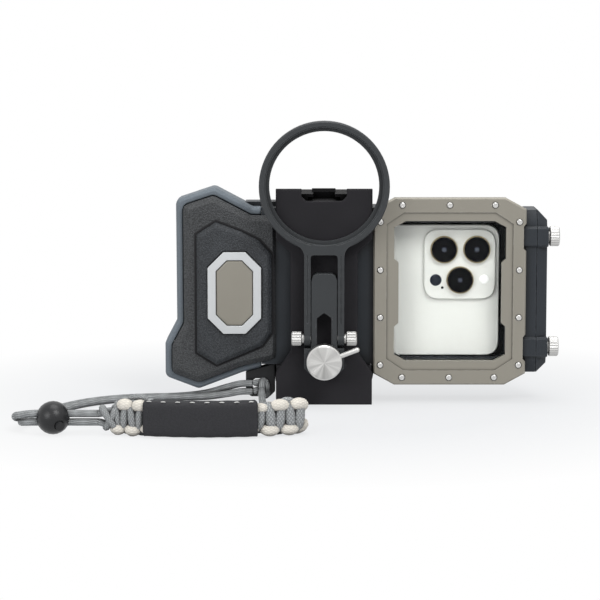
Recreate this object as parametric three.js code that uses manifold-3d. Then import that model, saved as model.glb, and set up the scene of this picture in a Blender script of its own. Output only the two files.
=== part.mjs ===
// Underwater housing for a phone, with a bolt-on clamp, a swing-up lens ring and a wrist lanyard.
// Millimetres. +X is right and +Z is up, seen from the front; the front faces -Y.
// The origin is on the underside of the clamp, in the middle of its width.
import * as THREE from 'three';
import { mergeVertices } from 'three/addons/utils/BufferGeometryUtils.js';
import Module from 'manifold-3d';

const wasm = await Module();
wasm.setup();

// Driving dimensions
const gap = 0.3;
const overrun = 3;
const phone = {
  length: 160.5, width: 76.7, thickness: 8.2, left: -58.6, bottom: 25.7, back: -3.6, corner: 9, edge: 1.2,
};
const phoneRight = phone.left + phone.length;
// How far each right-hand part stands past the phone's right end, or short of it.
const reach = {
  islandLeft: -44.1, rear: -3.9, islandRight: -2.4, pane: 2.5, plug: 8.5, screwTip: 10.7, frame: 13.9, flange: 14.3,
  seal: 15.1, shell: 20.2, cap: 26.5,
};
const bay = { front: -8, back: 5.2, headroom: 0.9, endRoom: 2 };
const shell = {
  front: -14.7, back: 12.4, end: phoneRight + reach.shell, flangeStart: phoneRight + reach.flange,
  flangeFront: -16, flangeBack: 14, skirt: 0.8, draft: 2.8, draftStart: -9,
};
const waist = { left: -27.8, right: 28.4, bottom: 22.3, top: 112.9 };
const frame = {
  left: 28.4, right: phoneRight + reach.frame, bottom: 11, top: 119, cornerX: 12, cornerZ: 6.6,
  back: -15, front: -20, bevel: 0.8, border: 7.4, borderZ: 8.4, step: 1,
};
const pane = {
  left: 40.3, right: phoneRight + reach.pane, bottom: 24.8, top: 105.6, cornerX: 6.6, cornerZ: 3.6,
  bulge: 2.5, bulgeRun: 2.2, bulgeBottom: 46.8, bulgeTop: 81.6, lap: 3.6, thickness: 3, seat: -10,
};
const gasketWidth = 2.4;
const gasketHeight = 1;
const screw = { headRadius: 1.75, headHeight: 1.5, proud: 0.7, crown: 0.7, shankRadius: 1.1, tip: -11.5, sides: 12 };
const screwRows = { side: 3.9, sideZ: 4.25, acrossShares: [0.188, 0.498, 0.795], upShares: [0.106, 0.361, 0.615, 0.871] };
const rear = {
  left: -54, right: phoneRight + reach.rear, bottom: 32.6, top: 97.6, corner: 7, lap: 4, floor: 6.4, film: 1,
  bezelLap: 5.8, bezelBack: 14.6, bezelBevel: 1,
};
const grip = {
  left: -91.7, crestTop: 124.5, crestLeft: -63, shoulderTop: 117.1, shoulderLeft: -85.1, step: -40.9, stepEnd: -46.1,
  stepTop: 115.6, palmTop: 47.4, palmLeft: -84.8, heelTop: 34.3, heelBottom: 14.6, toe: -72.4, toeBottom: 7.3,
  toeEnd: -46.8, toeEndBottom: 17, rimWidth: 4, rimFront: -12.6, rimBack: 10.4, rimBevel: 2.4, rimLean: 1.44,
  faceFront: -18.2, faceSlope: 3.2, faceDrop: 2.56, faceLip: 1.6, ease: 3.4,
};
const shoulder = { left: -45.3, top: 115.4, front: -2 };
const plateau = {
  front: -21.8, slope: 2.4, drop: 1.92, left: -73.1, right: -29.9, bottom: 22.5, top: 105.1, toe: -61.6, crest: -62,
  heel: 29.7, brow: 97.9, lowerKnee: [-35.6, 33.5], lowerEdge: 41.2, upperEdge: 86.5, upperKnee: [-37.4, 94.6],
  browKnee: [-47.4, 99.6],
};
const inlay = { left: -66.6, right: -36, bottom: 41, top: 88, corner: 9, rim: 4.6, front: -23.2, sink: 1.2 };
const clamp = {
  halfWidth: 27.6, top: 124.3, front: -24.4, thickness: 4, halfWaist: 19.2, corner: 1.2,
  upperShoulder: 95.7, upperNeck: 88, lowerNeck: 31, lowerShoulder: 18.4,
  jawHalfWidth: 27.3, jawDrop: 3.1, hookDepth: 3.4, hookGrip: 4.2, wall: 4, shelf: 3.6, padAbove: 20.9, padBelow: 9.1,
};
const shoe = {
  halfNotch: 12.9, notchBottom: 117.4, notchChamfer: 2.6, halfSlot: 9.35, halfMouth: 6.3,
  slotHeight: 2.1, length: 21, stopHalfWidth: 6.8, stopHeight: 1.7, stopDepth: 4,
};
const boltRadius = 2;
const boltHeadRadius = 3.5;
const boltHeadHeight = 3.4;
const boltSocket = { radius: 1.75, depth: 1.7 };
const stud = { z: 27.5, radius: 2.5, headRadius: 5, headHeight: 1.9, tip: -44 };
const arm = {
  middle: -30, tongueDepth: 7, tongueHalfWidth: 7.45, tongueTop: 76.9, cheek: 4.4, chamfer: 1.1, crown: 3.3,
};
const slot = { halfWidth: 4.15, shoulder: 51.4, apex: 54.4 };
const foot = { halfWidth: 11.4, bottom: 19.5, top: 34, chamfer: 3 };
const fork = {
  depth: 8, legWidth: 3.6, endRadius: 4.5, windowTop: 87.5, windowCorner: 2, flare: 4.6, groove: 0.5, grooveFoot: 9,
  rootHalfWidth: 10.05, rootDrop: 33.17,
};
const pivot = {
  z: 39.3, shankRadius: 2, headRadius: 4.1, faceRadius: 3.5, headLength: 6.1, neckRadius: 2.9, neckLength: 0.9,
  teeth: 18, knurl: 0.3, bevel: 0.6,
};
const ring = { z: 126.3, outer: 37.1, thread: 33.5, inner: 31.2, depth: 7.6, lip: 2.6, bevel: 0.7, sides: 80 };
const knob = { radius: 10.1, back: -36.7, hub: 2.4, flange: 1.5, flangeRadius: 9.4, face: -46.2, bevel: 1.3, hubRadius: 5 };
const lever = { radius: 1.5, start: 3.6, end: 21.4, degrees: 20.8, y: -42.6 };
const cap = {
  plugStart: phoneRight + reach.plug, outer: phoneRight + reach.cap, shrinkTop: 6, shrinkBottom: 5.2, edge: 2.4,
  bottom: 17.6, top: 111.6, corner: 5.4, bossWidth: 12.2, bossFront: -17.8, bossBack: -4.6, bossLap: 1.2,
  bossProud: 0.5, bossRamp: 1.4, plugFit: 0.45,
};
const seal = { at: phoneRight + reach.seal, width: 2.4, depth: 1.6, fit: 0.36 };
const capScrew = {
  y: -11.6, upperZ: 96.2, lowerZ: 32.3, radius: 5.75, faceRadius: 5.06, length: 5.7, shankRadius: 2,
  tip: phoneRight + reach.screwTip, collar: 3.2, collarLength: 0.5, teeth: 24, knurl: 0.3, bevel: 0.6,
};
const island = {
  left: phoneRight + reach.islandLeft, right: phoneRight + reach.islandRight, bottom: 58.9, top: 99.8,
  height: 1.9, corner: 9, lensHeight: 1.6,
};
const lens = { radius: 7.7, glassRadius: 5.6, dish: 0.7, shares: [[0.281, 0.711], [0.734, 0.714], [0.504, 0.279]] };
const lug = {
  left: -45.2, right: -28.2, bottom: 2.4, bar: 3.8, side: 3.9, front: -9, back: -3, corner: 3, ease: 1.5, crown: 13,
};
const cord = { radius: 2, sides: 8, spacing: 4.6, step: 9 };
const ball = { x: -146, y: -120.4, z: 9.1, radius: 9, boreHalfWidth: 2.35 };
const button = { azimuth: 61, elevation: -20, radius: 2.5, root: 7.1, tip: 10.3, floor: 5.6 };
const band = { left: -111.5, right: -12.7, middle: -64, arc: 111.7, arcY: -19.8, thickness: 9, bottom: 1.5, top: 18.9 };
const sleeve = { left: -95.6, right: -37.4, wall: 1 };
const knot = { left: -121.5, halfDepth: 4.6, bottom: 1.6, top: 17, corner: 2 };
const hitch = { left: -41, right: -31, depth: 5.4, bottom: 3.4, top: 13.2, corner: 1.8 };

// The grip's outer edge before its corners are eased, from its lower right corner up and round to the left.
const gripCorners = [
  [waist.left, waist.bottom], [waist.left, waist.top], [grip.step, waist.top], [grip.stepEnd, grip.stepTop],
  [grip.crestLeft, grip.crestTop], [grip.shoulderLeft, grip.shoulderTop], [grip.palmLeft, grip.palmTop],
  [grip.left, grip.heelTop], [grip.left, grip.heelBottom], [grip.toe, grip.toeBottom],
  [grip.toeEnd, grip.toeEndBottom],
];
const plateauOutline = [
  [plateau.toe, plateau.bottom], plateau.lowerKnee, [plateau.right, plateau.lowerEdge],
  [plateau.right, plateau.upperEdge], plateau.upperKnee, plateau.browKnee, [plateau.crest, plateau.top],
  [plateau.left, plateau.brow], [plateau.left, plateau.heel],
];

// Routes of the lanyard's strands, from the knot through the ball and back to the strap lug.
const lowerRoute = [
  [-121.8, -120.4, 6.75], [-133, -120.4, 6.75], [-145, -120.4, 6.75], [-156, -120.4, 6.75],
  [-161.5, -117.6, 6.2], [-164, -112, 5.2], [-163.8, -105, 4.2], [-161.5, -95, 3.2],
  [-157, -80, 2.3], [-151, -62, 2.2], [-143, -44, 2.2], [-132, -29, 2.2], [-117, -18, 2.2],
  [-100, -13, 2.2], [-83, -11, 2.3], [-68, -10.5, 2.6], [-56, -11.5, 4.4], [-48, -12, 5.8],
  [-41.3, -12, 6],
];
const upperRoute = [
  [-121.8, -120.4, 11.35], [-133, -120.4, 11.35], [-145, -120.4, 11.35], [-156, -120.4, 11.35],
  [-162.6, -118.7, 10.5], [-167, -112, 8.7], [-167.8, -104.6, 6.5], [-165.8, -93.8, 4.2],
  [-161.4, -78.6, 2.3], [-155.3, -60.3, 2.2], [-146.9, -41.6, 2.2], [-135.2, -25.7, 2.2],
  [-118.9, -13.9, 2.2], [-100.9, -8.5, 2.2], [-83.3, -6.4, 2.4], [-68, -6.2, 4.2],
  [-56, -8.5, 7.9], [-48, -11.3, 10.3], [-41.3, -12, 10.6],
];
const linkRoute = [
  [-35.8, -15.1, 7], [-35.8, -19, 6.7], [-35.5, -26.5, 3.8], [-35, -34, 2.2], [-34.8, -50, 2.2],
  [-34.2, -66, 2.2], [-33, -82, 2.3], [-31, -95, 3.4], [-28.6, -105.5, 5.6], [-26.3, -113.3, 7.8],
  [-24.1, -118.9, 8.6],
];

// Geometry helpers

// The volume inside a triangle mesh, negative when its faces point inwards.
function signedVolume(points, triangles) {
  let total = 0;
  const [a, b, c] = [new THREE.Vector3(), new THREE.Vector3(), new THREE.Vector3()];
  for (let i = 0; i < triangles.length; i += 3) {
    a.fromArray(points, triangles[i] * 3);
    b.fromArray(points, triangles[i + 1] * 3);
    c.fromArray(points, triangles[i + 2] * 3);
    total += a.dot(b.cross(c));
  }
  return total;
}

// A closed geometry as a solid that can be joined and cut.
function solid(geometry) {
  const bare = geometry.clone();
  bare.deleteAttribute('normal');
  bare.deleteAttribute('uv');
  const merged = mergeVertices(bare, 1e-4);
  const index = Array.from(merged.index.array);
  const kept = [];
  for (let i = 0; i < index.length; i += 3) {
    const [a, b, c] = index.slice(i, i + 3);
    if (a !== b && b !== c && c !== a) kept.push(a, b, c);
  }
  const points = merged.attributes.position.array;
  if (signedVolume(points, kept) < 0) kept.reverse();
  const mesh = { numProp: 3, vertProperties: new Float32Array(points), triVerts: new Uint32Array(kept) };
  return new wasm.Manifold(new wasm.Mesh(mesh));
}

function geometryOf(body) {
  const mesh = body.getMesh();
  const geometry = new THREE.BufferGeometry();
  geometry.setAttribute('position', new THREE.BufferAttribute(new Float32Array(mesh.vertProperties), 3));
  geometry.setIndex(new THREE.BufferAttribute(new Uint32Array(mesh.triVerts), 1));
  geometry.computeVertexNormals();
  return geometry;
}

// Puts an outline's point (u, v) at the distance w along the chosen axis.
const placed = {
  x: (u, v, w) => [w, u, v],
  y: (u, v, w) => [u, w, v],
  z: (u, v, w) => [u, v, w],
};

// A closed skin through outlines of equal point count, each at its distance along the axis.
function loft(axis, layers) {
  const count = layers[0].outline.length;
  const points = [];
  for (const { outline, at } of layers) {
    for (const [u, v] of outline) points.push(...placed[axis](u, v, at));
  }
  const index = [];
  for (let layer = 0; layer + 1 < layers.length; layer += 1) {
    for (let i = 0; i < count; i += 1) {
      const next = (i + 1) % count;
      const [a, b] = [layer * count + i, layer * count + next];
      index.push(a, a + count, b + count, a, b + count, b);
    }
  }
  const last = (layers.length - 1) * count;
  const capOf = (layer) => THREE.ShapeUtils.triangulateShape(
    layer.outline.map(([u, v]) => new THREE.Vector2(u, v)), [],
  );
  for (const [a, b, c] of capOf(layers[0])) index.push(a, b, c);
  for (const [a, b, c] of capOf(layers.at(-1))) index.push(last + a, last + c, last + b);
  const geometry = new THREE.BufferGeometry();
  geometry.setAttribute('position', new THREE.Float32BufferAttribute(points, 3));
  geometry.setIndex(index);
  return solid(geometry);
}

const prism = (axis, outline, from, to) => loft(axis, [{ outline, at: from }, { outline, at: to }]);

function block(x, y, z) {
  const geometry = new THREE.BoxGeometry(x[1] - x[0], y[1] - y[0], z[1] - z[0]);
  geometry.translate((x[0] + x[1]) / 2, (y[0] + y[1]) / 2, (z[0] + z[1]) / 2);
  return solid(geometry);
}

// Moves every edge of an outline inwards by the same distance, keeping its corners sharp.
function inset(outline, distance) {
  const count = outline.length;
  let area = 0;
  outline.forEach(([u, v], i) => {
    const [p, q] = outline[(i + 1) % count];
    area += u * q - p * v;
  });
  const side = Math.sign(area) * distance;
  return outline.map(([u, v], i) => {
    const [pu, pv] = outline[(i + count - 1) % count];
    const [nu, nv] = outline[(i + 1) % count];
    const before = new THREE.Vector2(u - pu, v - pv).normalize();
    const after = new THREE.Vector2(nu - u, nv - v).normalize();
    const mitre = new THREE.Vector2(-before.y - after.y, before.x + after.x);
    mitre.multiplyScalar(side / (1 + before.dot(after)));
    return [u + mitre.x, v + mitre.y];
  });
}

const chamfered = (left, right, bottom, top, cutU, cutV = cutU) => [
  [left + cutU, bottom], [right - cutU, bottom], [right, bottom + cutV], [right, top - cutV],
  [right - cutU, top], [left + cutU, top], [left, top - cutV], [left, bottom + cutV],
];

// An outline whose corners are rounded by arcs of the given radius.
function rounded(outline, radius, steps = 4) {
  const count = outline.length;
  const points = [];
  outline.forEach(([u, v], i) => {
    const here = new THREE.Vector2(u, v);
    const before = new THREE.Vector2(...outline[(i + count - 1) % count]).sub(here);
    const after = new THREE.Vector2(...outline[(i + 1) % count]).sub(here);
    const turn = Math.acos(THREE.MathUtils.clamp(before.dot(after) / before.length() / after.length(), -1, 1));
    const reach = Math.min(radius / Math.tan(turn / 2), before.length() / 2, after.length() / 2);
    const start = here.clone().addScaledVector(before.normalize(), reach);
    const end = here.clone().addScaledVector(after.normalize(), reach);
    const curve = new THREE.QuadraticBezierCurve(start, here, end);
    for (const point of curve.getPoints(steps)) points.push([point.x, point.y]);
  });
  return points;
}

const mirrored = (half) => [...half, ...half.map(([u, v]) => [-u, v]).reverse()];

const circle = (u, v, radius, sides) => Array.from({ length: sides }, (_, i) => {
  const angle = (i + 0.5) * 2 * Math.PI / sides;
  return [u + radius * Math.cos(angle), v + radius * Math.sin(angle)];
});

// A round solid turned from (radius, distance along the axis) pairs that start and end on the axis.
function turned(profile, axis, sides = 32, spin = 0) {
  const geometry = new THREE.LatheGeometry(profile.map(([r, h]) => new THREE.Vector2(r, h)), sides, spin);
  if (axis === 'x') geometry.rotateZ(-Math.PI / 2);
  if (axis === 'z') geometry.rotateX(Math.PI / 2);
  return solid(geometry);
}

function rod(axis, u, v, radius, from, to, sides = 24) {
  return prism(axis, circle(u, v, radius, sides), from, to);
}

// A straight-knurled wheel: an outline of fine teeth.
function knurledOutline(radius, teeth, depth) {
  return Array.from({ length: teeth * 2 }, (_, i) => {
    const angle = i * Math.PI / teeth;
    const reach = radius - (i % 2) * depth;
    return [reach * Math.cos(angle), reach * Math.sin(angle)];
  });
}

// A tube of cord along its route.
function cordAlong(route) {
  const curve = new THREE.CatmullRomCurve3(route.map((p) => new THREE.Vector3(...p)), false, 'centripetal');
  const section = new THREE.Shape(circle(0, 0, cord.radius, cord.sides).map(([u, v]) => new THREE.Vector2(u, v)));
  const steps = Math.round(curve.getLength() / cord.step);
  return new THREE.ExtrudeGeometry(section, { steps, bevelEnabled: false, extrudePath: curve });
}

// Finishes
const finish = (color, roughness, metalness) => new THREE.MeshStandardMaterial({ color, roughness, metalness });
const finishes = {
  shellPlastic: () => finish('#15171a', 0.55, 0),
  gripRubber: () => finish('#3d464f', 0.7, 0),
  gripPlastic: () => finish('#24272a', 0.8, 0),
  taupeAnodised: () => finish('#8e897c', 0.5, 0.6),
  blackAnodised: () => finish('#111214', 0.4, 0.7),
  greyAnodised: () => finish('#4a4d50', 0.4, 0.7),
  brightSteel: () => finish('#c9c9c6', 0.25, 1),
  clearGlass: () => finish('#dfe6ea', 0.05, 0),
  silverInlay: () => finish('#b9bab8', 0.4, 0.7),
  phoneGlass: () => finish('#e4e2dc', 0.3, 0.1),
  blackRubber: () => finish('#0e0e0f', 0.85, 0),
  greyCord: () => finish('#7b7d7c', 0.9, 0),
  creamWeave: () => finish('#cfc9bb', 0.9, 0),
  darkLabel: () => finish('#2a2b2c', 0.8, 0),
};

const housing = new THREE.Group();

function piece(name, shape, material, parent = housing) {
  const geometry = shape.isBufferGeometry ? shape : geometryOf(shape);
  const mesh = new THREE.Mesh(geometry, finishes[material]());
  mesh.name = name;
  parent.add(mesh);
  return mesh;
}

// Sizes that follow from the driving dimensions
const phoneTop = phone.bottom + phone.width;
const phoneFace = phone.back + phone.thickness;
const bayBottom = phone.bottom - gap;
const bayTop = phoneTop + bay.headroom;
const bayLeft = phone.left - bay.endRoom;
const frameOutline = chamfered(frame.left, frame.right, frame.bottom, frame.top, frame.cornerX, frame.cornerZ);
const paneOutline = chamfered(pane.left, pane.right, pane.bottom, pane.top, pane.cornerX, pane.cornerZ);
const lapOutline = inset(paneOutline, -pane.lap);
const glassFront = frame.back + gap;
const glassBack = glassFront + pane.thickness;
const rearOutline = rounded(chamfered(rear.left, rear.right, rear.bottom, rear.top, rear.corner), rear.corner);
const rearLap = inset(rearOutline, -rear.lap);
const filmFront = rear.floor + gap;
const filmBack = filmFront + rear.film;
const rearGasketBack = filmBack + gap + gasketHeight;
const bezelFront = shell.back + gap;
const clampBack = clamp.front + clamp.thickness;
const jawTop = waist.bottom - gap;
const jawBottom = waist.top + gap;
const jawBack = bezelFront + clamp.hookDepth;
const studSeat = clampBack - stud.headHeight - gap;
const tongueFront = arm.middle - arm.tongueDepth / 2;
const tongueBack = arm.middle + arm.tongueDepth / 2;
const forkFront = arm.middle - fork.depth / 2;
const forkBack = arm.middle + fork.depth / 2;
const legInside = arm.tongueHalfWidth + gap;
const legOutside = legInside + fork.legWidth;
const guideHalf = slot.halfWidth - gap;
const slotBottom = stud.z - guideHalf - gap;

// Where the fourteen screws of the window frame stand: three along the top and bottom, four up each side.
function screwPlaces() {
  const { acrossShares, upShares, side, sideZ } = screwRows;
  const { left, right, bottom, top } = frame;
  const across = acrossShares.map((share) => left + (right - left) * share);
  const up = upShares.map((share) => bottom + (top - bottom) * share);
  const rows = across.flatMap((x) => [[x, top - sideZ], [x, bottom + sideZ]]);
  const columns = up.flatMap((z) => [[left + side, z], [right - side, z]]);
  return [...rows, ...columns];
}

const capScrewZ = [capScrew.upperZ, capScrew.lowerZ];

// The grip's outline moved inwards by a distance, with its corners eased; its clamp side can be kept in place.
function gripEdge(distance, right = null) {
  const corners = inset(gripCorners, distance);
  if (right !== null) corners.slice(0, 2).forEach((corner) => corner.splice(0, 1, right));
  return rounded(corners, grip.ease, 2);
}

// The one-piece shell: grip core, waist and window box, with the phone bay open at its right end.
function mainBody() {
  const core = gripEdge(grip.rimWidth + gap);
  const waistBox = block(
    [waist.left - grip.rimWidth * 2, frame.left + overrun], [shell.front, shell.back], [waist.bottom, waist.top],
  );
  const flangeOutline = chamfered(
    shell.flangeFront, shell.flangeBack, cap.bottom, cap.top, cap.edge, cap.corner,
  );
  const skirt = inset(frameOutline, shell.skirt);
  const windowBox = loft('y', [
    { outline: skirt, at: shell.front }, { outline: skirt, at: shell.draftStart },
    { outline: inset(frameOutline, shell.draft), at: shell.back },
  ]);
  const neck = block(
    [frame.right - 2 * shell.draft, shell.flangeStart + gap], [shell.front, shell.back],
    [cap.bottom + cap.corner, cap.top - cap.corner],
  );
  let body = prism('y', core, shell.front, shell.back)
    .add(waistBox)
    .add(windowBox)
    .add(neck)
    .add(prism('x', flangeOutline, shell.flangeStart, shell.end))
    .add(prism('y', shoulderOutline(), shoulder.front, shell.back));
  for (const z of capScrewZ) body = body.add(capBoss(z, frame.right - cap.bossLap, shell.end, false));
  const bayBox = block([bayLeft, shell.end + overrun], [bay.front, bay.back], [bayBottom, bayTop]);
  body = body
    .subtract(bayBox)
    .subtract(prism('y', paneOutline, shell.front - overrun, bay.front + overrun))
    .subtract(prism('y', lapOutline, shell.front - overrun, pane.seat))
    .subtract(prism('y', rearOutline, bay.back - overrun, shell.back + overrun))
    .subtract(prism('y', rearLap, rear.floor, shell.back + overrun));
  for (const [x, z] of screwPlaces()) {
    const hole = rod('y', x, z, screw.shankRadius + gap, shell.front - overrun, screw.tip + gap, screw.sides);
    body = body.subtract(hole);
  }
  for (const z of capScrewZ) {
    const hole = rod('x', capScrew.y, z, capScrew.shankRadius + gap, capScrew.tip - gap, shell.end + overrun, 16);
    body = body.subtract(hole);
  }
  return body;
}

// The rear shoulder between the grip and the clamp, which clears the grip's rim.
function shoulderOutline() {
  const root = waist.left - grip.rimWidth * 2;
  const [stepX, stepZ] = gripCorners[2];
  return [
    [root, waist.top - gap], [waist.left, waist.top - gap], [waist.left, shoulder.top],
    [shoulder.left, shoulder.top], [stepX, stepZ + gap], [root, stepZ + gap],
  ];
}

// A raised band that carries one of the end cap's thumb screws.
function capBoss(z, from, to, tapered) {
  const half = cap.bossWidth / 2;
  const wide = chamfered(cap.bossFront, cap.bossBack, z - half, z + half, cap.bossRamp);
  const end = tapered ? inset(wide, cap.bossRamp / 2) : wide;
  return loft('x', [{ outline: wide, at: from }, { outline: wide, at: to - cap.bossRamp }, { outline: end, at: to }]);
}

function windowFrame() {
  const face = inset(frameOutline, frame.bevel);
  let body = loft('y', [
    { outline: face, at: frame.front },
    { outline: frameOutline, at: frame.front + frame.bevel },
    { outline: frameOutline, at: frame.back },
  ]);
  const stepOutline = chamfered(
    frame.left + frame.border, frame.right - frame.border,
    frame.bottom + frame.borderZ, frame.top - frame.borderZ, frame.cornerX - 2 * frame.step, frame.cornerZ,
  );
  const { left, right, bottom, top, cornerX, cornerZ, bulge, bulgeRun, bulgeBottom, bulgeTop } = pane;
  const opening = [
    [left + cornerX, bottom], [right - cornerX, bottom], [right, bottom + cornerZ],
    [right, bulgeBottom - bulgeRun], [right - bulge, bulgeBottom], [right - bulge, bulgeTop],
    [right, bulgeTop + bulgeRun], [right, top - cornerZ], [right - cornerX, top], [left + cornerX, top],
    [left, top - cornerZ], [left, bulgeTop + bulgeRun], [left + bulge, bulgeTop],
    [left + bulge, bulgeBottom], [left, bulgeBottom - bulgeRun], [left, bottom + cornerZ],
  ];
  body = body
    .subtract(prism('y', stepOutline, frame.front - overrun, frame.front + frame.step))
    .subtract(prism('y', opening, frame.front - overrun, frame.back + overrun));
  for (const [x, z] of screwPlaces()) {
    const seat = frame.front + screw.headHeight - screw.proud + gap;
    body = body
      .subtract(rod('y', x, z, screw.headRadius + gap, frame.front - overrun, seat, screw.sides))
      .subtract(rod('y', x, z, screw.shankRadius + gap, frame.front, frame.back + overrun, screw.sides));
  }
  for (const z of capScrewZ) body = body.subtract(frameNotch(z));
  return body;
}

// The step in the frame's right edge that clears a screw band.
function frameNotch(z) {
  const half = cap.bossWidth / 2 + gap;
  const edge = frame.right - cap.bossLap - gap;
  const mouth = frame.right + overrun;
  const flare = mouth - edge;
  const outline = [[edge, z - half], [mouth, z - half - flare], [mouth, z + half + flare], [edge, z + half]];
  return prism('y', outline, frame.front - overrun, frame.back + overrun);
}

function frameScrew() {
  const { headRadius, headHeight, crown, shankRadius } = screw;
  const front = frame.front - screw.proud;
  return turned([
    [0, front], [headRadius - crown, front], [headRadius, front + crown], [headRadius, front + headHeight],
    [shankRadius, front + headHeight], [shankRadius, screw.tip], [0, screw.tip],
  ], 'y', screw.sides);
}

const outlineRing = (outer, inner, from, to) => prism('y', outer, from, to)
  .subtract(prism('y', inner, from - overrun, to + overrun));

function rearBezel() {
  const outer = inset(rearOutline, -rear.bezelLap);
  const plate = loft('y', [
    { outline: outer, at: bezelFront },
    { outline: outer, at: rear.bezelBack - rear.bezelBevel },
    { outline: inset(outer, rear.bezelBevel), at: rear.bezelBack },
  ]);
  const skirt = prism('y', inset(rearLap, gap), rearGasketBack + gap, bezelFront + rear.bezelBevel / 2);
  return plate.add(skirt).subtract(prism('y', rearOutline, rear.floor, rear.bezelBack + overrun));
}

// The bumper round the grip: a rounded strip along its outer edge, open at the clamp.
function gripRim() {
  const { rimFront, rimBack, rimBevel, rimWidth } = grip;
  const narrowed = gripEdge(grip.rimLean);
  const strip = loft('y', [
    { outline: narrowed, at: rimFront },
    { outline: gripEdge(0), at: rimFront + rimBevel },
    { outline: gripEdge(0), at: rimBack - rimBevel },
    { outline: narrowed, at: rimBack },
  ]);
  const core = gripEdge(rimWidth);
  const opening = block(
    [waist.left - 2 * rimWidth - gap, waist.left + overrun], [rimFront - overrun, rimBack + overrun],
    [waist.bottom - overrun, waist.top + overrun],
  );
  return strip.subtract(prism('y', core, rimFront - overrun, rimBack + overrun)).subtract(opening);
}

// The front cover of the grip, with sloped flanks.
function gripFace() {
  const base = gripEdge(grip.rimWidth + gap, waist.left);
  const back = shell.front - gap;
  const flat = gripEdge(grip.rimWidth + gap + grip.faceSlope, waist.left - grip.faceLip);
  return loft('y', [
    { outline: flat, at: grip.faceFront },
    { outline: base, at: grip.faceFront + grip.faceDrop },
    { outline: base, at: back },
  ]);
}

function gripPlateau() {
  const back = grip.faceFront - gap;
  const raised = loft('y', [
    { outline: inset(plateauOutline, plateau.slope), at: plateau.front },
    { outline: plateauOutline, at: plateau.front + plateau.drop },
    { outline: plateauOutline, at: back },
  ]);
  const pocket = inset(inlayOutline(), -gap);
  return raised.subtract(prism('y', pocket, plateau.front - overrun, plateau.front + inlay.sink + gap));
}

const inlayOutline = () => chamfered(inlay.left, inlay.right, inlay.bottom, inlay.top, inlay.corner);

function inlayRim() {
  const outer = inlayOutline();
  const inner = inset(outer, inlay.rim);
  return outlineRing(outer, inner, inlay.front, plateau.front + inlay.sink);
}

function inlayPanel() {
  const outer = inset(inlayOutline(), inlay.rim + gap);
  const front = inlay.front + inlay.sink / 2;
  return loft('y', [
    { outline: inset(outer, inlay.sink), at: front },
    { outline: outer, at: front + inlay.sink / 2 },
    { outline: outer, at: plateau.front + inlay.sink },
  ]);
}

// The clamp's front plate: wide jaws above and below a narrow waist, with the accessory shoe's notch on top.
function clampPlate() {
  const { halfWidth, top, halfWaist, upperShoulder, upperNeck, lowerNeck, lowerShoulder, front, corner } = clamp;
  const outline = mirrored([
    [halfWidth, 0], [halfWidth, lowerShoulder], [halfWaist, lowerNeck], [halfWaist, upperNeck],
    [halfWidth, upperShoulder], [halfWidth, top],
    [shoe.halfNotch, top], [shoe.halfNotch, shoe.notchBottom + shoe.notchChamfer],
    [shoe.halfNotch - shoe.notchChamfer, shoe.notchBottom],
  ]);
  const plate = loft('y', [
    { outline: inset(outline, corner / 2), at: front },
    { outline, at: front + corner / 2 },
    { outline, at: clampBack },
  ]);
  return plate
    .subtract(rod('y', 0, stud.z, stud.radius + gap, front - overrun, clampBack + overrun))
    .subtract(rod('y', 0, stud.z, stud.headRadius + gap, studSeat, clampBack + overrun));
}

const boltPlaces = () => [-1, 1].map((side) => side * (clamp.halfWidth - 2 * boltHeadRadius));

const jawCrest = clamp.top - clamp.jawDrop;
const upperBoltZ = jawCrest - clamp.corner - boltHeadRadius - gap;
const lowerBoltZ = clamp.wall + clamp.corner + boltHeadRadius + gap;

// The upper jaw: a bridge over the shell with a hook down its back and a dovetail shoe in its top.
function upperJaw() {
  const half = clamp.jawHalfWidth;
  const front = clampBack + gap;
  const profile = [
    [front, jawBottom], [bezelFront, jawBottom], [bezelFront, jawBottom - clamp.hookGrip],
    [jawBack, jawBottom - clamp.hookGrip], [jawBack, jawCrest - clamp.corner],
    [jawBack - clamp.corner, jawCrest], [front, jawCrest],
  ];
  const slotFloor = shoe.notchBottom;
  const slotTop = slotFloor + shoe.slotHeight;
  const channel = block([-shoe.halfSlot, shoe.halfSlot], [front - overrun, front + shoe.length], [slotFloor, slotTop]);
  const mouth = block(
    [-shoe.halfMouth, shoe.halfMouth], [front - overrun, front + shoe.length], [slotFloor, jawCrest + overrun],
  );
  let jaw = prism('x', profile, -half, half).subtract(channel).subtract(mouth).add(shoeStop());
  for (const x of boltPlaces()) {
    const z = upperBoltZ;
    jaw = jaw
      .subtract(rod('y', x, z, boltRadius + gap, front - overrun, jawBack + overrun, 16))
      .subtract(rod('y', x, z, boltHeadRadius + gap, jawBack - boltHeadHeight, jawBack + overrun, 20));
  }
  return jaw;
}

// The lower jaw: an open channel that is also the foot that the housing stands on.
function lowerJaw() {
  const half = clamp.jawHalfWidth;
  const front = clampBack + gap;
  const { wall, shelf, corner, hookGrip } = clamp;
  const outer = [
    [front, 0], [jawBack - corner, 0], [jawBack, corner], [jawBack, jawTop + hookGrip],
    [bezelFront, jawTop + hookGrip], [bezelFront, jawTop], [front, jawTop],
  ];
  const hollow = chamfered(front + wall, jawBack - wall, wall, jawTop - shelf, corner);
  let jaw = prism('x', outer, -half, half).subtract(prism('x', hollow, -half - overrun, half + overrun));
  for (const x of boltPlaces()) {
    jaw = jaw.subtract(rod('y', x, lowerBoltZ, boltRadius + gap, front - overrun, front + wall + overrun, 16));
  }
  return jaw;
}

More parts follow.
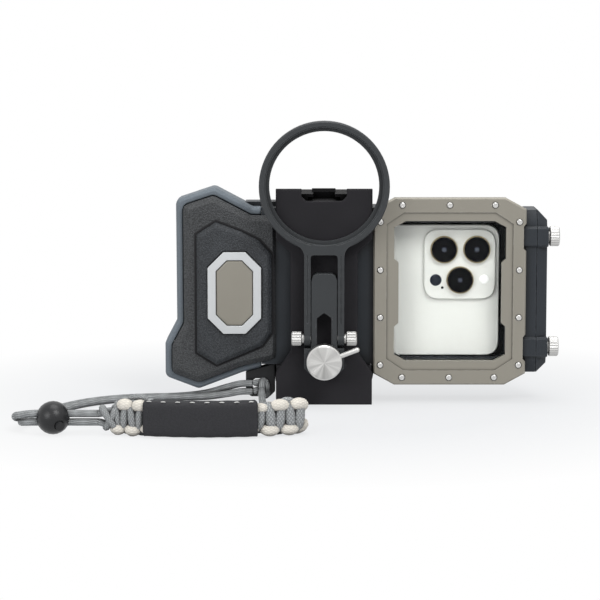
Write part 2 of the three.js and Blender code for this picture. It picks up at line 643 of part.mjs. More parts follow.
// A socket-head bolt along Y; its tip is at the plate.
function bolt(length) {
  const socketFloor = boltHeadHeight - boltSocket.depth;
  return turned([
    [0, -length], [boltRadius, -length], [boltRadius, 0], [boltHeadRadius, 0],
    [boltHeadRadius, boltHeadHeight - gap], [boltHeadRadius - gap, boltHeadHeight],
    [boltSocket.radius, boltHeadHeight], [boltSocket.radius, socketFloor], [0, socketFloor],
  ], 'y', 16);
}

// The raised stop at the back of the shoe.
function shoeStop() {
  const back = clampBack + gap + shoe.length;
  const front = back - shoe.stopDepth;
  const half = shoe.stopHalfWidth;
  const floor = shoe.notchBottom - gap;
  const top = jawCrest + shoe.stopHeight;
  const profile = [
    [front, floor], [back + gap, floor], [back + gap, top],
    [front + shoe.stopHeight, top], [front, top - shoe.stopHeight],
  ];
  return prism('x', profile, -half, half);
}

function clampPad(bottom, top) {
  const half = clamp.halfWaist - clamp.corner;
  const outline = chamfered(-half, half, bottom, top, clamp.corner * 2);
  return prism('y', outline, clampBack + gap, shell.front - gap);
}

function pivotStud() {
  return turned([
    [0, clampBack - gap], [stud.headRadius, clampBack - gap], [stud.headRadius, studSeat + gap],
    [stud.radius, studSeat + gap], [stud.radius, stud.tip + gap], [stud.radius - gap, stud.tip], [0, stud.tip],
  ], 'y');
}

function pivotWasher() {
  const from = tongueBack + gap;
  const to = clamp.front - gap;
  return rod('y', 0, 0, legInside - gap, from, to)
    .subtract(rod('y', 0, 0, stud.radius + gap, from - overrun, to + overrun));
}

// The flanged square bush that turns on the stud and slides in the tongue's slot.
function slotGuide() {
  const flangeRadius = legInside - 2 * gap;
  const flangeBack = tongueFront - gap;
  const flangeFront = knob.back + gap;
  const square = block([-guideHalf, guideHalf], [flangeBack - gap, tongueBack], [-guideHalf, guideHalf]);
  return rod('y', 0, 0, flangeRadius, flangeFront, flangeBack)
    .add(square)
    .subtract(rod('y', 0, 0, stud.radius + gap, flangeFront - overrun, tongueBack + overrun));
}

// The slotted link between the stud and the ring's fork.
function armTongue() {
  const half = arm.tongueHalfWidth;
  const { tongueTop, cheek, chamfer, crown } = arm;
  const outline = mirrored([
    [foot.halfWidth - foot.chamfer, foot.bottom], [foot.halfWidth, foot.bottom + foot.chamfer],
    [foot.halfWidth, foot.top], [half, foot.top], [half, tongueTop - cheek],
    [half - chamfer, tongueTop - chamfer], [half - crown, tongueTop],
  ]);
  const opening = [
    [-slot.halfWidth, slotBottom], [slot.halfWidth, slotBottom], [slot.halfWidth, slot.shoulder],
    [0, slot.apex], [-slot.halfWidth, slot.shoulder],
  ];
  let link = loft('y', [
    { outline: inset(outline, gap), at: tongueFront },
    { outline, at: tongueFront + gap },
    { outline, at: tongueBack },
  ]).subtract(prism('y', opening, tongueFront - overrun, tongueBack + overrun));
  const flare = inset(opening, -2 * gap);
  link = link.subtract(prism('y', flare, tongueFront - overrun, tongueFront + gap));
  return link.subtract(rod('x', arm.middle, pivot.z, pivot.shankRadius + gap, -half - overrun, half + overrun, 16));
}

// The threaded lens ring and the fork that carries it, one casting.
function lensRing() {
  const { outer, thread, inner, bevel, lip, sides } = ring;
  const front = forkFront;
  const back = forkFront + ring.depth;
  const profile = [
    [thread + bevel, front], [outer - bevel, front], [outer, front + bevel], [outer, back - bevel],
    [outer - bevel, back], [inner, back], [inner, back - lip], [thread, back - lip], [thread, front + bevel],
  ];
  const closed = [...profile, profile[0]];
  const hoop = turned(closed, 'y', sides).translate([0, 0, ring.z]);
  const shoulderZ = ring.z - Math.sqrt(outer ** 2 - legOutside ** 2);
  const flareX = legOutside + fork.flare;
  const flareZ = ring.z - Math.sqrt((outer - bevel) ** 2 - flareX ** 2);
  const fillet = new THREE.QuadraticBezierCurve(
    new THREE.Vector2(legOutside, shoulderZ - fork.flare), new THREE.Vector2(legOutside, shoulderZ),
    new THREE.Vector2(flareX, flareZ),
  ).getPoints(5).map((p) => [p.x, p.y]);
  const stem = mirrored([[legOutside, pivot.z], ...fillet, [fork.rootHalfWidth, ring.z - fork.rootDrop]]);
  let body = prism('y', stem, forkFront, forkBack);
  const clear = new THREE.CylinderGeometry(thread, thread, fork.depth + 2 * overrun, sides);
  body = body.subtract(solid(clear.translate(0, arm.middle, ring.z)));
  const legEnd = rod('x', arm.middle, pivot.z, fork.endRadius, -legOutside, legOutside, 24);
  const lowerSlab = block([-legOutside, legOutside], [forkFront, forkBack], [pivot.z, pivot.z + fork.endRadius]);
  body = body.add(legEnd).add(lowerSlab);
  const window = rounded([
    [-legInside, pivot.z - fork.endRadius - overrun], [legInside, pivot.z - fork.endRadius - overrun],
    [legInside, fork.windowTop], [-legInside, fork.windowTop],
  ], fork.windowCorner);
  body = body.subtract(prism('y', window, forkFront - overrun, forkBack + overrun)).add(hoop);
  for (const side of [-1, 1]) {
    const at = side * (legInside + fork.legWidth / 2);
    body = body.subtract(block(
      [at - fork.groove, at + fork.groove], [forkFront - overrun, forkFront + fork.groove],
      [pivot.z + fork.grooveFoot, fork.windowTop],
    ));
  }
  const bore = rod('x', arm.middle, pivot.z, pivot.shankRadius + gap, -legOutside - overrun, legOutside + overrun, 16);
  return body.subtract(bore);
}

// A knurled thumb screw through one leg of the fork, built along +X from the middle of the arm.
function pivotScrew() {
  const { shankRadius, neckRadius, neckLength, headLength } = pivot;
  const tip = slot.halfWidth + gap;
  const neck = legOutside + gap;
  const head = neck + neckLength;
  const core = turned([
    [0, tip], [shankRadius, tip], [shankRadius, neck], [neckRadius, neck], [neckRadius, head + gap], [0, head + gap],
  ], 'x', 16);
  return core.add(knurledHead(pivot.headRadius, pivot, head, head + headLength));
}

// A knurled head along X between two bevels.
function knurledHead(radius, { faceRadius, teeth, knurl, bevel }, from, to) {
  const wheel = knurledOutline(radius, teeth, knurl);
  const face = knurledOutline(faceRadius, teeth, knurl);
  return loft('x', [
    { outline: face, at: from }, { outline: wheel, at: from + bevel },
    { outline: wheel, at: to - bevel }, { outline: face, at: to },
  ]);
}

// The lock knob: a turned disc with a bevelled face, a backing flange and a hub.
function lockKnob() {
  const { radius, back, hub, flange, flangeRadius, face, bevel, hubRadius } = knob;
  const disc = turned([
    [0, face], [radius - bevel, face], [radius, face + bevel], [radius, back - flange - gap],
    [flangeRadius, back - flange], [flangeRadius, back - gap], [hubRadius, back], [0, back],
  ], 'y', 40);
  return disc
    .subtract(rod('y', 0, 0, stud.radius + gap, stud.tip - gap, back + hub + overrun))
    .subtract(leverRod(lever.radius + gap, lever.start - gap, radius + overrun));
}

function leverRod(radius, from, to) {
  const geometry = new THREE.CylinderGeometry(radius, radius, to - from, 12);
  geometry.rotateZ(-Math.PI / 2).translate((from + to) / 2, 0, 0);
  geometry.rotateY(-THREE.MathUtils.degToRad(lever.degrees)).translate(0, lever.y, 0);
  return solid(geometry);
}

function knobLever() {
  const tip = new THREE.SphereGeometry(lever.radius, 12, 8);
  tip.translate(lever.end - lever.radius, 0, 0);
  tip.rotateY(-THREE.MathUtils.degToRad(lever.degrees)).translate(0, lever.y, 0);
  return leverRod(lever.radius, lever.start, lever.end - lever.radius).add(solid(tip));
}

// The end cap: a sloped cover with screw bands, and a plug that enters the bay.
function endCap() {
  const inner = shell.end + gap;
  const { edge, corner, outer, shrinkTop, shrinkBottom } = cap;
  const wide = chamfered(shell.flangeFront, shell.flangeBack, cap.bottom, cap.top, edge, corner);
  const narrow = chamfered(
    shell.flangeFront + edge, shell.flangeBack - edge, cap.bottom + shrinkBottom, cap.top - shrinkTop, edge, corner,
  );
  let body = loft('x', [{ outline: wide, at: inner }, { outline: wide, at: inner + gap }, { outline: narrow, at: outer }]);
  for (const z of capScrewZ) body = body.add(capBoss(z, inner, outer + cap.bossProud, true));
  const plug = (lap) => block(
    [cap.plugStart, inner + gap], [bay.front + lap, bay.back - lap], [bayBottom + lap, bayTop - lap],
  );
  body = body.add(plug(cap.plugFit));
  const groove = block(
    [seal.at, seal.at + seal.width + 2 * gap], [bay.front - overrun, bay.back + overrun],
    [bayBottom - overrun, bayTop + overrun],
  ).subtract(plug(cap.plugFit + seal.depth + gap));
  body = body.subtract(groove);
  for (const z of capScrewZ) {
    body = body.subtract(rod('x', capScrew.y, z, capScrew.shankRadius + gap, inner - overrun, outer + 2 * overrun, 16));
  }
  return body;
}

function capSeal() {
  const ringBox = (lap, from, to) => block(
    [from, to], [bay.front + lap, bay.back - lap], [bayBottom + lap, bayTop - lap],
  );
  const from = seal.at + gap;
  const to = from + seal.width;
  return ringBox(seal.fit, from, to).subtract(ringBox(cap.plugFit + seal.depth, from - overrun, to + overrun));
}

// A knurled thumb screw of the end cap, built along +X from the cap's outer face.
function thumbScrew() {
  const seat = cap.outer + cap.bossProud + gap;
  const { length, shankRadius, collar, collarLength, tip } = capScrew;
  const head = seat + collarLength;
  const core = turned([
    [0, tip], [shankRadius, tip], [shankRadius, seat], [collar, seat], [collar, head + gap], [0, head + gap],
  ], 'x', 20);
  return core.add(knurledHead(capScrew.radius, capScrew, head, head + length));
}

function phoneBody() {
  const outline = rounded(
    [[phone.left, phone.bottom], [phoneRight, phone.bottom], [phoneRight, phoneTop], [phone.left, phoneTop]],
    phone.corner, 6,
  );
  const slim = inset(outline, phone.edge / 2);
  return loft('y', [
    { outline: slim, at: phone.back }, { outline, at: phone.back + phone.edge },
    { outline, at: phoneFace - phone.edge }, { outline: slim, at: phoneFace },
  ]);
}

// The phone's camera island with its three raised lens rings.
function cameraIsland() {
  const base = rounded([
    [island.left, island.bottom], [island.right, island.bottom],
    [island.right, island.top], [island.left, island.top],
  ], island.corner, 6);
  const back = phone.back - gap;
  const front = back - island.height;
  let body = loft('y', [
    { outline: inset(base, gap * 2), at: front }, { outline: base, at: front + gap * 2 }, { outline: base, at: back },
  ]);
  const { left, right, bottom, top } = island;
  for (const [shareX, shareZ] of lens.shares) {
    const [x, z] = [left + (right - left) * shareX, bottom + (top - bottom) * shareZ];
    body = body
      .add(rod('y', x, z, lens.radius, front - island.lensHeight, front + gap, 32))
      .subtract(rod('y', x, z, lens.glassRadius + gap, front - overrun, front - island.lensHeight + lens.dish, 24));
  }
  return body;
}

// The strap lug under the grip: a loop whose top follows the shell's sloping edge.
function strapLug() {
  const { left, right, bottom, bar, side, corner, ease, crown } = lug;
  const slope = (waist.bottom - grip.toeEndBottom) / (waist.left - grip.toeEnd);
  const under = (x) => grip.toeEndBottom + slope * (x - grip.toeEnd) - gap * Math.hypot(1, slope);
  const outer = [
    [left + corner, bottom], [right - corner, bottom], [right, bottom + corner], [right, under(right)],
    [left, under(left)], [left, bottom + corner],
  ];
  const hole = chamfered(left + side, right - side, bottom + bar, crown, ease);
  return prism('y', outer, lug.front, lug.back)
    .subtract(prism('y', hole, lug.front - overrun, lug.back + overrun));
}

// Plan outline of the bracelet's band, grown by a margin, between two X positions.
function bandOutline(from, to, margin) {
  const steps = 14;
  const yAt = (x, radius) => band.arcY - Math.sqrt(radius ** 2 - (x - band.middle) ** 2);
  const xs = Array.from({ length: steps + 1 }, (_, i) => from + (to - from) * i / steps);
  const reach = band.thickness / 2 + margin;
  const front = xs.map((x) => [x, yAt(x, band.arc + reach)]);
  const back = xs.map((x) => [x, yAt(x, band.arc - reach)]);
  return [...front, ...back.reverse()];
}

const braceletBand = () => prism('z', bandOutline(band.left, band.right, 0), band.bottom, band.top);

function labelSleeve() {
  const outer = bandOutline(sleeve.left, sleeve.right, gap + sleeve.wall);
  const inner = bandOutline(sleeve.left - overrun, sleeve.right + overrun, gap);
  const floor = band.bottom - gap;
  const roof = band.top + gap;
  return prism('z', outer, floor - sleeve.wall, roof + sleeve.wall).subtract(prism('z', inner, floor, roof));
}

function strandKnot() {
  const right = band.left - gap;
  const outline = chamfered(ball.y - knot.halfDepth, ball.y + knot.halfDepth, knot.bottom, knot.top, knot.corner);
  return loft('x', [
    { outline: inset(outline, knot.corner / 2), at: knot.left }, { outline, at: knot.left + knot.corner },
    { outline, at: right - knot.corner }, { outline: inset(outline, knot.corner / 2), at: right },
  ]);
}

function hitchKnot() {
  const front = lug.front - gap - hitch.depth;
  const outline = chamfered(hitch.left, hitch.right, hitch.bottom, hitch.top, hitch.corner);
  return prism('y', outline, front, lug.front - gap);
}

// The direction in which the toggle's button points out of the ball.
const buttonAxis = new THREE.Vector3().setFromSphericalCoords(
  1, THREE.MathUtils.degToRad(90 - button.elevation), THREE.MathUtils.degToRad(90 + button.azimuth),
);
const buttonDirection = new THREE.Vector3(buttonAxis.x, buttonAxis.z, buttonAxis.y);

function alongButton(radius, from, to, sides = 16) {
  const geometry = new THREE.CylinderGeometry(radius, radius, to - from, sides);
  geometry.translate(0, (from + to) / 2, 0);
  const turn = new THREE.Quaternion().setFromUnitVectors(new THREE.Vector3(0, 1, 0), buttonDirection);
  geometry.applyQuaternion(turn);
  return solid(geometry);
}

// The spring toggle's ball, with a slot for both strands and a well for its button.
function toggleBall() {
  const { radius, boreHalfWidth } = ball;
  const boreHalfHeight = cord.spacing / 2 + boreHalfWidth;
  const bore = rounded([
    [-boreHalfWidth, -boreHalfHeight], [boreHalfWidth, -boreHalfHeight],
    [boreHalfWidth, boreHalfHeight], [-boreHalfWidth, boreHalfHeight],
  ], boreHalfWidth);
  return solid(new THREE.SphereGeometry(radius, 24, 14))
    .subtract(prism('x', bore, -radius - overrun, radius + overrun))
    .subtract(alongButton(button.radius + gap, button.floor, radius + overrun));
}

const toggleButton = () => alongButton(button.radius, button.root, button.tip);

// Assembly
piece('main_body', mainBody(), 'shellPlastic');
piece('window_frame', windowFrame(), 'taupeAnodised');
piece('window_glass', prism('y', inset(lapOutline, gap), glassFront, glassBack), 'clearGlass');
piece('window_gasket', outlineRing(
  inset(lapOutline, gap), inset(lapOutline, gap + gasketWidth), pane.seat - gap - gasketHeight, pane.seat - gap,
), 'blackRubber');
piece('touch_membrane', prism('y', inset(rearLap, gap), filmFront, filmBack), 'clearGlass');
piece('membrane_gasket', outlineRing(
  inset(rearLap, gap), inset(rearLap, gap + gasketWidth), filmBack + gap, rearGasketBack,
), 'blackRubber');
piece('rear_bezel', rearBezel(), 'shellPlastic');
piece('grip_rim', gripRim(), 'gripRubber');
piece('grip_face', gripFace(), 'gripPlastic');
piece('grip_plateau', gripPlateau(), 'gripPlastic');
piece('inlay_rim', inlayRim(), 'silverInlay');
piece('inlay_panel', inlayPanel(), 'taupeAnodised');
screwPlaces().forEach(([x, z], i) => {
  const mesh = piece(`frame_screw_${String(i + 1).padStart(2, '0')}`, frameScrew(), 'brightSteel');
  mesh.position.set(x, 0, z);
});

piece('clamp_plate', clampPlate(), 'blackAnodised');
piece('clamp_upper_jaw', upperJaw(), 'blackAnodised');
piece('clamp_lower_jaw', lowerJaw(), 'blackAnodised');
const upperPadTop = waist.top - clamp.wall;
const lowerPadBottom = waist.bottom + clamp.shelf;
piece('clamp_pad_upper', clampPad(upperPadTop - clamp.padAbove, upperPadTop), 'blackRubber');
piece('clamp_pad_lower', clampPad(lowerPadBottom, lowerPadBottom + clamp.padBelow), 'blackRubber');
boltPlaces().forEach((x, i) => {
  const side = ['left', 'right'][i];
  const upper = piece(`upper_bolt_${side}`, bolt(jawBack - boltHeadHeight - clampBack - 2 * gap), 'brightSteel');
  upper.position.set(x, jawBack - boltHeadHeight + gap, upperBoltZ);
  const lower = piece(`lower_bolt_${side}`, bolt(clamp.wall), 'brightSteel');
  lower.position.set(x, clampBack + gap + clamp.wall + gap, lowerBoltZ);
});
piece('strap_lug', strapLug(), 'blackAnodised');

const mechanism = new THREE.Group();
mechanism.position.set(0, 0, stud.z);
housing.add(mechanism);
piece('pivot_stud', pivotStud(), 'brightSteel', mechanism);
piece('pivot_washer', pivotWasher(), 'brightSteel', mechanism);
piece('slot_guide', slotGuide(), 'brightSteel', mechanism);
piece('lock_knob', lockKnob(), 'brightSteel', mechanism);
piece('knob_lever', knobLever(), 'brightSteel', mechanism);
piece('arm_tongue', armTongue(), 'greyAnodised');
piece('lens_ring', lensRing(), 'greyAnodised');
for (const [side, turn] of [['left', Math.PI], ['right', 0]]) {
  const mesh = piece(`pivot_screw_${side}`, pivotScrew(), 'brightSteel');
  mesh.position.set(0, arm.middle, pivot.z);
  mesh.rotation.set(0, turn, 0);
}

piece('end_cap', endCap(), 'shellPlastic');
piece('cap_seal', capSeal(), 'blackRubber');
capScrewZ.forEach((z, i) => {
  const mesh = piece(`cap_screw_${['upper', 'lower'][i]}`, thumbScrew(), 'brightSteel');
  mesh.position.set(0, capScrew.y, z);
});
piece('phone_body', phoneBody(), 'phoneGlass');
piece('phone_camera_island', cameraIsland(), 'phoneGlass');

const toggle = new THREE.Group();
toggle.position.set(ball.x, ball.y, ball.z);
housing.add(toggle);
piece('toggle_ball', toggleBall(), 'blackRubber', toggle);
piece('toggle_button', toggleButton(), 'blackRubber', toggle);
piece('bracelet_band', braceletBand(), 'creamWeave');
piece('label_sleeve', labelSleeve(), 'darkLabel');
piece('strand_knot', strandKnot(), 'greyCord');
piece('hitch_knot', hitchKnot(), 'greyCord');
piece('strand_lower', cordAlong(lowerRoute), 'greyCord');
piece('strand_upper', cordAlong(upperRoute), 'greyCord');
piece('strand_link', cordAlong(linkRoute), 'greyCord');

export default housing;
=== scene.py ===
"""Finishes, cords and fine pieces of an underwater camera housing."""

import math
from random import Random

import bpy
from bpy.props import FloatProperty, FloatVectorProperty, IntProperty, PointerProperty
from bpy.types import Operator, Panel, PropertyGroup
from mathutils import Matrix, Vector


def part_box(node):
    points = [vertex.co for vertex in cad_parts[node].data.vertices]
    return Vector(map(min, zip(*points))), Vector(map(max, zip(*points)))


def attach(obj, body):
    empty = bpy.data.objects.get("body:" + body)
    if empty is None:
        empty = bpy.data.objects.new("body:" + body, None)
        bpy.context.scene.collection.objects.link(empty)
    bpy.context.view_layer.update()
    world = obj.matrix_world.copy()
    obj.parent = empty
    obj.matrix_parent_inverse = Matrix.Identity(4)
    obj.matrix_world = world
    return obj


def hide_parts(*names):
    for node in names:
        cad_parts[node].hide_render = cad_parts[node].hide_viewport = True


bl_info = {
    "name": "Underwater Camera Housing",
    "version": (1, 0, 0),
    "blender": (4, 5, 0),
    "location": "View3D > Sidebar > Housing",
    "description": "Dresses a diver's phone housing with its finishes, cords and fine pieces",
    "category": "Add Mesh",
}

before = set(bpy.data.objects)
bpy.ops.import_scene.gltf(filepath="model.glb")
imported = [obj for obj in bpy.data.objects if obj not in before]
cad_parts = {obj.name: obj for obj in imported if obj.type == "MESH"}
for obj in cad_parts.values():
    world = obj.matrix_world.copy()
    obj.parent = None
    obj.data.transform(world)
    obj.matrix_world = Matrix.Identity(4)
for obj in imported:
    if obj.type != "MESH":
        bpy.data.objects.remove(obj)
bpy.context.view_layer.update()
MM = 0.001
FULL_TURN = 2 * math.pi
POINT = 1e-6  # radius of a ring that closes an end
FRAME_SCREWS = [f"frame_screw_{number:02d}" for number in range(1, 15)]
BOLTS = ["upper_bolt_left", "upper_bolt_right", "lower_bolt_left", "lower_bolt_right"]
THUMB_SCREWS = ["pivot_screw_left", "pivot_screw_right", "cap_screw_upper", "cap_screw_lower"]

# Routes of the strands in millimetres: two run from the strap lug through the toggle to the knot, and the link runs
# from the lug to the bracelet's right end
LOWER_ROUTE = [
    (-41.3, -12, 6), (-48, -12, 5.8), (-56, -11.5, 4.4), (-68, -10.5, 2.6), (-83, -11, 2.3), (-100, -13, 2.2),
    (-117, -18, 2.2), (-132, -29, 2.2), (-143, -44, 2.2), (-151, -62, 2.2), (-157, -80, 2.3), (-161.5, -95, 3.2),
    (-163.8, -105, 4.2), (-164, -112, 5.2), (-161.5, -117.6, 6.2), (-156, -120.4, 6.75), (-145, -120.4, 6.75),
    (-133, -120.4, 6.75), (-121.8, -120.4, 6.75),
]
UPPER_ROUTE = [
    (-41.3, -12, 10.6), (-48, -11.3, 10.3), (-56, -8.5, 7.9), (-68, -6.2, 4.2), (-83.3, -6.4, 2.4),
    (-100.9, -8.5, 2.2), (-118.9, -13.9, 2.2), (-135.2, -25.7, 2.2), (-146.9, -41.6, 2.2), (-155.3, -60.3, 2.2),
    (-161.4, -78.6, 2.3), (-165.8, -93.8, 4.2), (-167.8, -104.6, 6.5), (-167, -112, 8.7), (-162.6, -118.7, 10.5),
    (-156, -120.4, 11.35), (-145, -120.4, 11.35), (-133, -120.4, 11.35), (-121.8, -120.4, 11.35),
]
LINK_ROUTE = [
    (-35.8, -15.1, 7), (-35.8, -19, 6.7), (-35.5, -26.5, 3.8), (-35, -34, 2.2), (-34.8, -50, 2.2),
    (-34.2, -66, 2.2), (-33, -82, 2.3), (-31, -95, 3.4), (-28.6, -105.5, 5.6), (-26.3, -113.3, 7.8),
    (-24.1, -118.9, 8.6),
]
# Turns of the knot at the bracelet's end, and of the hitch at the lug, in millimetres
CROSSINGS = [
    [(-124, -120.4, 11.35), (-121.7, -120.4, 11.35), (-119.4, -120.9, 11.8), (-117, -121.2, 12.6),
     (-114.6, -120.8, 12.8), (-111.2, -120, 12)],
    [(-124, -120.4, 6.75), (-121.7, -120.4, 6.75), (-119.4, -120.9, 6.4), (-117, -121.2, 5.6),
     (-114.6, -120.8, 5.4), (-111.2, -120, 6.4)],
    [(-119.9, -119.4, 14.6), (-119.3, -121.8, 14.4), (-117.6, -123.8, 11.8), (-115.4, -124.2, 8.6),
     (-113.2, -124, 5.6), (-111.9, -122.8, 3.3), (-111.4, -120.2, 3)],
    [(-110.6, -121.4, 14.6), (-112.2, -123.2, 13.6), (-113.9, -123.8, 10.4), (-115.6, -123.2, 7.4),
     (-117.2, -122, 4.4), (-118.4, -119.6, 3.9)],
    [(-114.6, -118.4, 14), (-112.6, -119.6, 14.2), (-110.6, -120.8, 11.4), (-110.4, -121, 8.4), (-112, -119.8, 5)],
]
TURNS = [
    [(-41.4, -12, 10.6), (-39.6, -12.3, 10.9), (-37.9, -11, 10.9), (-37.4, -8, 10.3), (-37.3, -4.6, 10),
     (-36.3, -0.9, 9.8), (-35.3, -4.6, 9.6), (-35.3, -8.4, 9.9), (-35.4, -11.4, 11.4), (-35.6, -13.4, 10.6),
     (-35.8, -14.2, 8.6), (-35.8, -15.2, 7)],
    [(-41.4, -12, 6), (-39.4, -12, 6.3), (-37.8, -11.6, 6.9), (-36.4, -10.6, 7.4), (-34.8, -11.2, 7.2),
     (-33.2, -11, 6), (-32.8, -11.4, 4.2), (-34.4, -12.2, 3.4), (-36.4, -13, 4.2), (-36.2, -14.2, 6)],
    [(-36.2, -7, 11.4), (-34.6, -10.4, 11.6), (-33.3, -12, 9.6), (-33.1, -11.8, 7.2), (-33.6, -9.4, 5.4)],
]


# Sizes and colours that a user would change

def length(name, description, default):
    return FloatProperty(name=name, description=description, default=default, min=0.0, precision=4, unit="LENGTH")


def colour(name, what, default):
    return FloatVectorProperty(
        name=name, description=f"Colour of {what}", default=default, min=0.0, max=1.0, size=3, subtype="COLOR"
    )


def power(name, what, default):
    return FloatProperty(name=name, description=f"Power of {what}", default=default, min=0.0, unit="POWER")


class CordSettings(PropertyGroup):
    """Sizes and colours of the lanyard's cord, bracelet and label."""
    diameter: length("Cord diameter", "Outer diameter of the braided cord", 0.004)
    ribs: IntProperty(name="Ribs", description="Strands of the sheath around the cord", default=14, min=6, max=32)
    pitch: length("Weave pitch", "Distance from one bar of the bracelet to the next", 0.00555)
    grey: colour("Grey cord", "the strands and the bracelet's middle", (0.37, 0.385, 0.39))
    cream: colour("Cream cord", "the bracelet's side loops", (0.93, 0.88, 0.79))
    label: colour("Label", "the label's webbing", (0.022, 0.022, 0.025))
    stitch: colour("Stitching", "the thread along the label's edges", (0.72, 0.72, 0.7))


class HousingSettings(PropertyGroup):
    """Colours of the housing, the clamp and the phone."""
    shell: colour("Shell", "the moulded shell and end cap", (0.0265, 0.0315, 0.038))
    grip: colour("Grip", "the stippled grip", (0.051, 0.054, 0.057))
    plateau: colour("Plateau", "the grip's raised middle", (0.031, 0.035, 0.040))
    rim: colour("Grip rim", "the soft rim round the grip", (0.168, 0.197, 0.225))
    taupe: colour("Window frame", "the anodised window frame", (0.295, 0.277, 0.235))
    silver: colour("Inlay", "the inlay's outer ring", (0.66, 0.68, 0.69))
    clamp: colour("Clamp", "the anodised clamp", (0.0305, 0.0295, 0.0325))
    arm: colour("Arm", "the anodised arm and lens ring", (0.039, 0.0425, 0.0455))
    steel: colour("Steel", "knobs and screws", (0.66, 0.655, 0.64))
    phone: colour("Phone", "the phone's matt back", (0.695, 0.69, 0.65))
    edge: length("Edge radius", "Softening of the machined and moulded edges", 0.0003)


class StageSettings(PropertyGroup):
    """The floor and the studio light."""
    floor: colour("Floor", "the floor", (0.6, 0.61, 0.63))
    glow: FloatProperty(name="Floor glow", description="Share of the floor's look that is its own pale light",
                        default=0.7, min=0.0, max=1.0)
    sky: FloatProperty(name="Ambient light", description="Brightness of the room around the object", default=0.4,
                       min=0.0)
    key: power("Key light", "the main lamp", 13.0)
    fill: power("Fill light", "the lamp on the left", 7.0)
    top: power("Top light", "the lamp above", 6.0)


# Node helpers

def fill(tree, node, inputs):
    """Links a node's inputs to sockets, or sets them to plain values."""
    for key, value in inputs.items():
        if isinstance(value, bpy.types.NodeSocket):
            tree.links.new(value, node.inputs[key])
        else:
            node.inputs[key].default_value = value


def add(tree, kind, inputs=None, **settings):
    """Adds a node, applies its own settings and fills its inputs."""
    made = tree.nodes.new(kind)
    for key, value in settings.items():
        setattr(made, key, value)
    fill(tree, made, inputs or {})
    return made


def maths(tree, operation, *values):
    return add(tree, "ShaderNodeMath", dict(enumerate(values)), operation=operation).outputs[0]


def vectors(tree, operation, *values):
    made = add(tree, "ShaderNodeVectorMath", dict(enumerate(values)), operation=operation)
    return made.outputs["Value" if operation in {"DOT_PRODUCT", "LENGTH"} else "Vector"]


def spread(tree, value, low, high, to_low=0.0, to_high=1.0):
    inputs = {"Value": value, "From Min": low, "From Max": high, "To Min": to_low, "To Max": to_high}
    return add(tree, "ShaderNodeMapRange", inputs, clamp=True).outputs["Result"]


def own_place(tree):
    return add(tree, "ShaderNodeTexCoord").outputs["Object"]


def noise(tree, place, scale, detail):
    return add(tree, "ShaderNodeTexNoise", {"Vector": place, "Scale": scale, "Detail": detail}).outputs["Fac"]


def sized_noise(tree, place, size, detail):
    return noise(tree, place, maths(tree, "DIVIDE", 1.0, size), detail)


def shared(tree, first, share, second):
    """The first value by its share, and the second by the rest."""
    return maths(tree, "ADD", maths(tree, "MULTIPLY", first, share), maths(tree, "MULTIPLY", second, 1 - share))


def blend(tree, factor, low, high):
    return add(tree, "ShaderNodeMix", {"Factor": factor, 6: low, 7: high}, data_type="RGBA").outputs[2]


def join(tree, factor, first, second):
    return add(tree, "ShaderNodeMixShader", {0: factor, 1: first, 2: second}).outputs[0]


# Shared effects: each function fills a shader node group and returns what goes to its outputs

def stipple_effect(tree, given):
    """Pebbled mould texture: packed round grains over a slow drift of tone."""
    place = own_place(tree)
    scale = maths(tree, "DIVIDE", 1.0, given["Grain"])
    cells = add(tree, "ShaderNodeTexVoronoi", {"Vector": place, "Scale": scale}, feature="F1").outputs["Distance"]
    grains = spread(tree, cells, 0.05, 0.75, 1.0, 0.0)
    height = maths(tree, "MULTIPLY_ADD", noise(tree, place, scale, 3.0), 0.5, grains)
    return height, shared(tree, grains, 0.55, sized_noise(tree, place, given["Drift"], 2.0))


def grain_effect(tree, given):
    """Even blasted or anodised grain with broad, faint patches."""
    place = own_place(tree)
    fine = sized_noise(tree, place, given["Grain"], 4.0)
    return fine, shared(tree, fine, 0.35, sized_noise(tree, place, given["Drift"], 2.0))


def turned_effect(tree, given):
    """Fine rings round an axis, as a lathe leaves them, with soft rays of painted highlight across them, where
    brushed metal would catch the light.
    """
    offset = vectors(tree, "SUBTRACT", own_place(tree), given["Centre"])
    along = vectors(tree, "DOT_PRODUCT", offset, given["Axis"])
    axial = add(tree, "ShaderNodeVectorMath", {0: given["Axis"], "Scale": along}, operation="SCALE").outputs[0]
    radial = vectors(tree, "SUBTRACT", offset, axial)
    count = maths(tree, "DIVIDE", vectors(tree, "LENGTH", radial), given["Pitch"])
    row = {"W": count, "Scale": 1.0, "Detail": 2.0}
    rings = add(tree, "ShaderNodeTexNoise", row, noise_dimensions="1D").outputs["Fac"]
    # Painted highlight: bright and dark sectors by angle round the axis stand in for the brushed face's highlight.
    highlight_rays = spread(tree, noise(tree, vectors(tree, "NORMALIZE", radial), 2.4, 1.0), 0.28, 0.72)
    return rings, shared(tree, rings, 0.4, highlight_rays)


def braid_effect(tree, given):
    """Sheath of a braided cord: slanted yarns that cross along it. It reads the flat coordinates of a tube."""
    flat = add(tree, "ShaderNodeSeparateXYZ", {"Vector": add(tree, "ShaderNodeTexCoord").outputs["UV"]}).outputs
    around = maths(tree, "MULTIPLY", flat["X"], given["Yarns"])
    along = maths(tree, "DIVIDE", flat["Y"], given["Lay"])
    weave = []
    for operation in ("ADD", "SUBTRACT"):
        phase = maths(tree, "MULTIPLY", maths(tree, operation, around, along), FULL_TURN)
        weave.append(maths(tree, "ABSOLUTE", maths(tree, "SINE", phase)))
    height = spread(tree, maths(tree, "MINIMUM", *weave), 0.0, 0.7)
    fuzz = noise(tree, own_place(tree), 2600.0, 3.0)
    return maths(tree, "MULTIPLY_ADD", fuzz, 0.3, height), shared(tree, height, 0.6, fuzz)


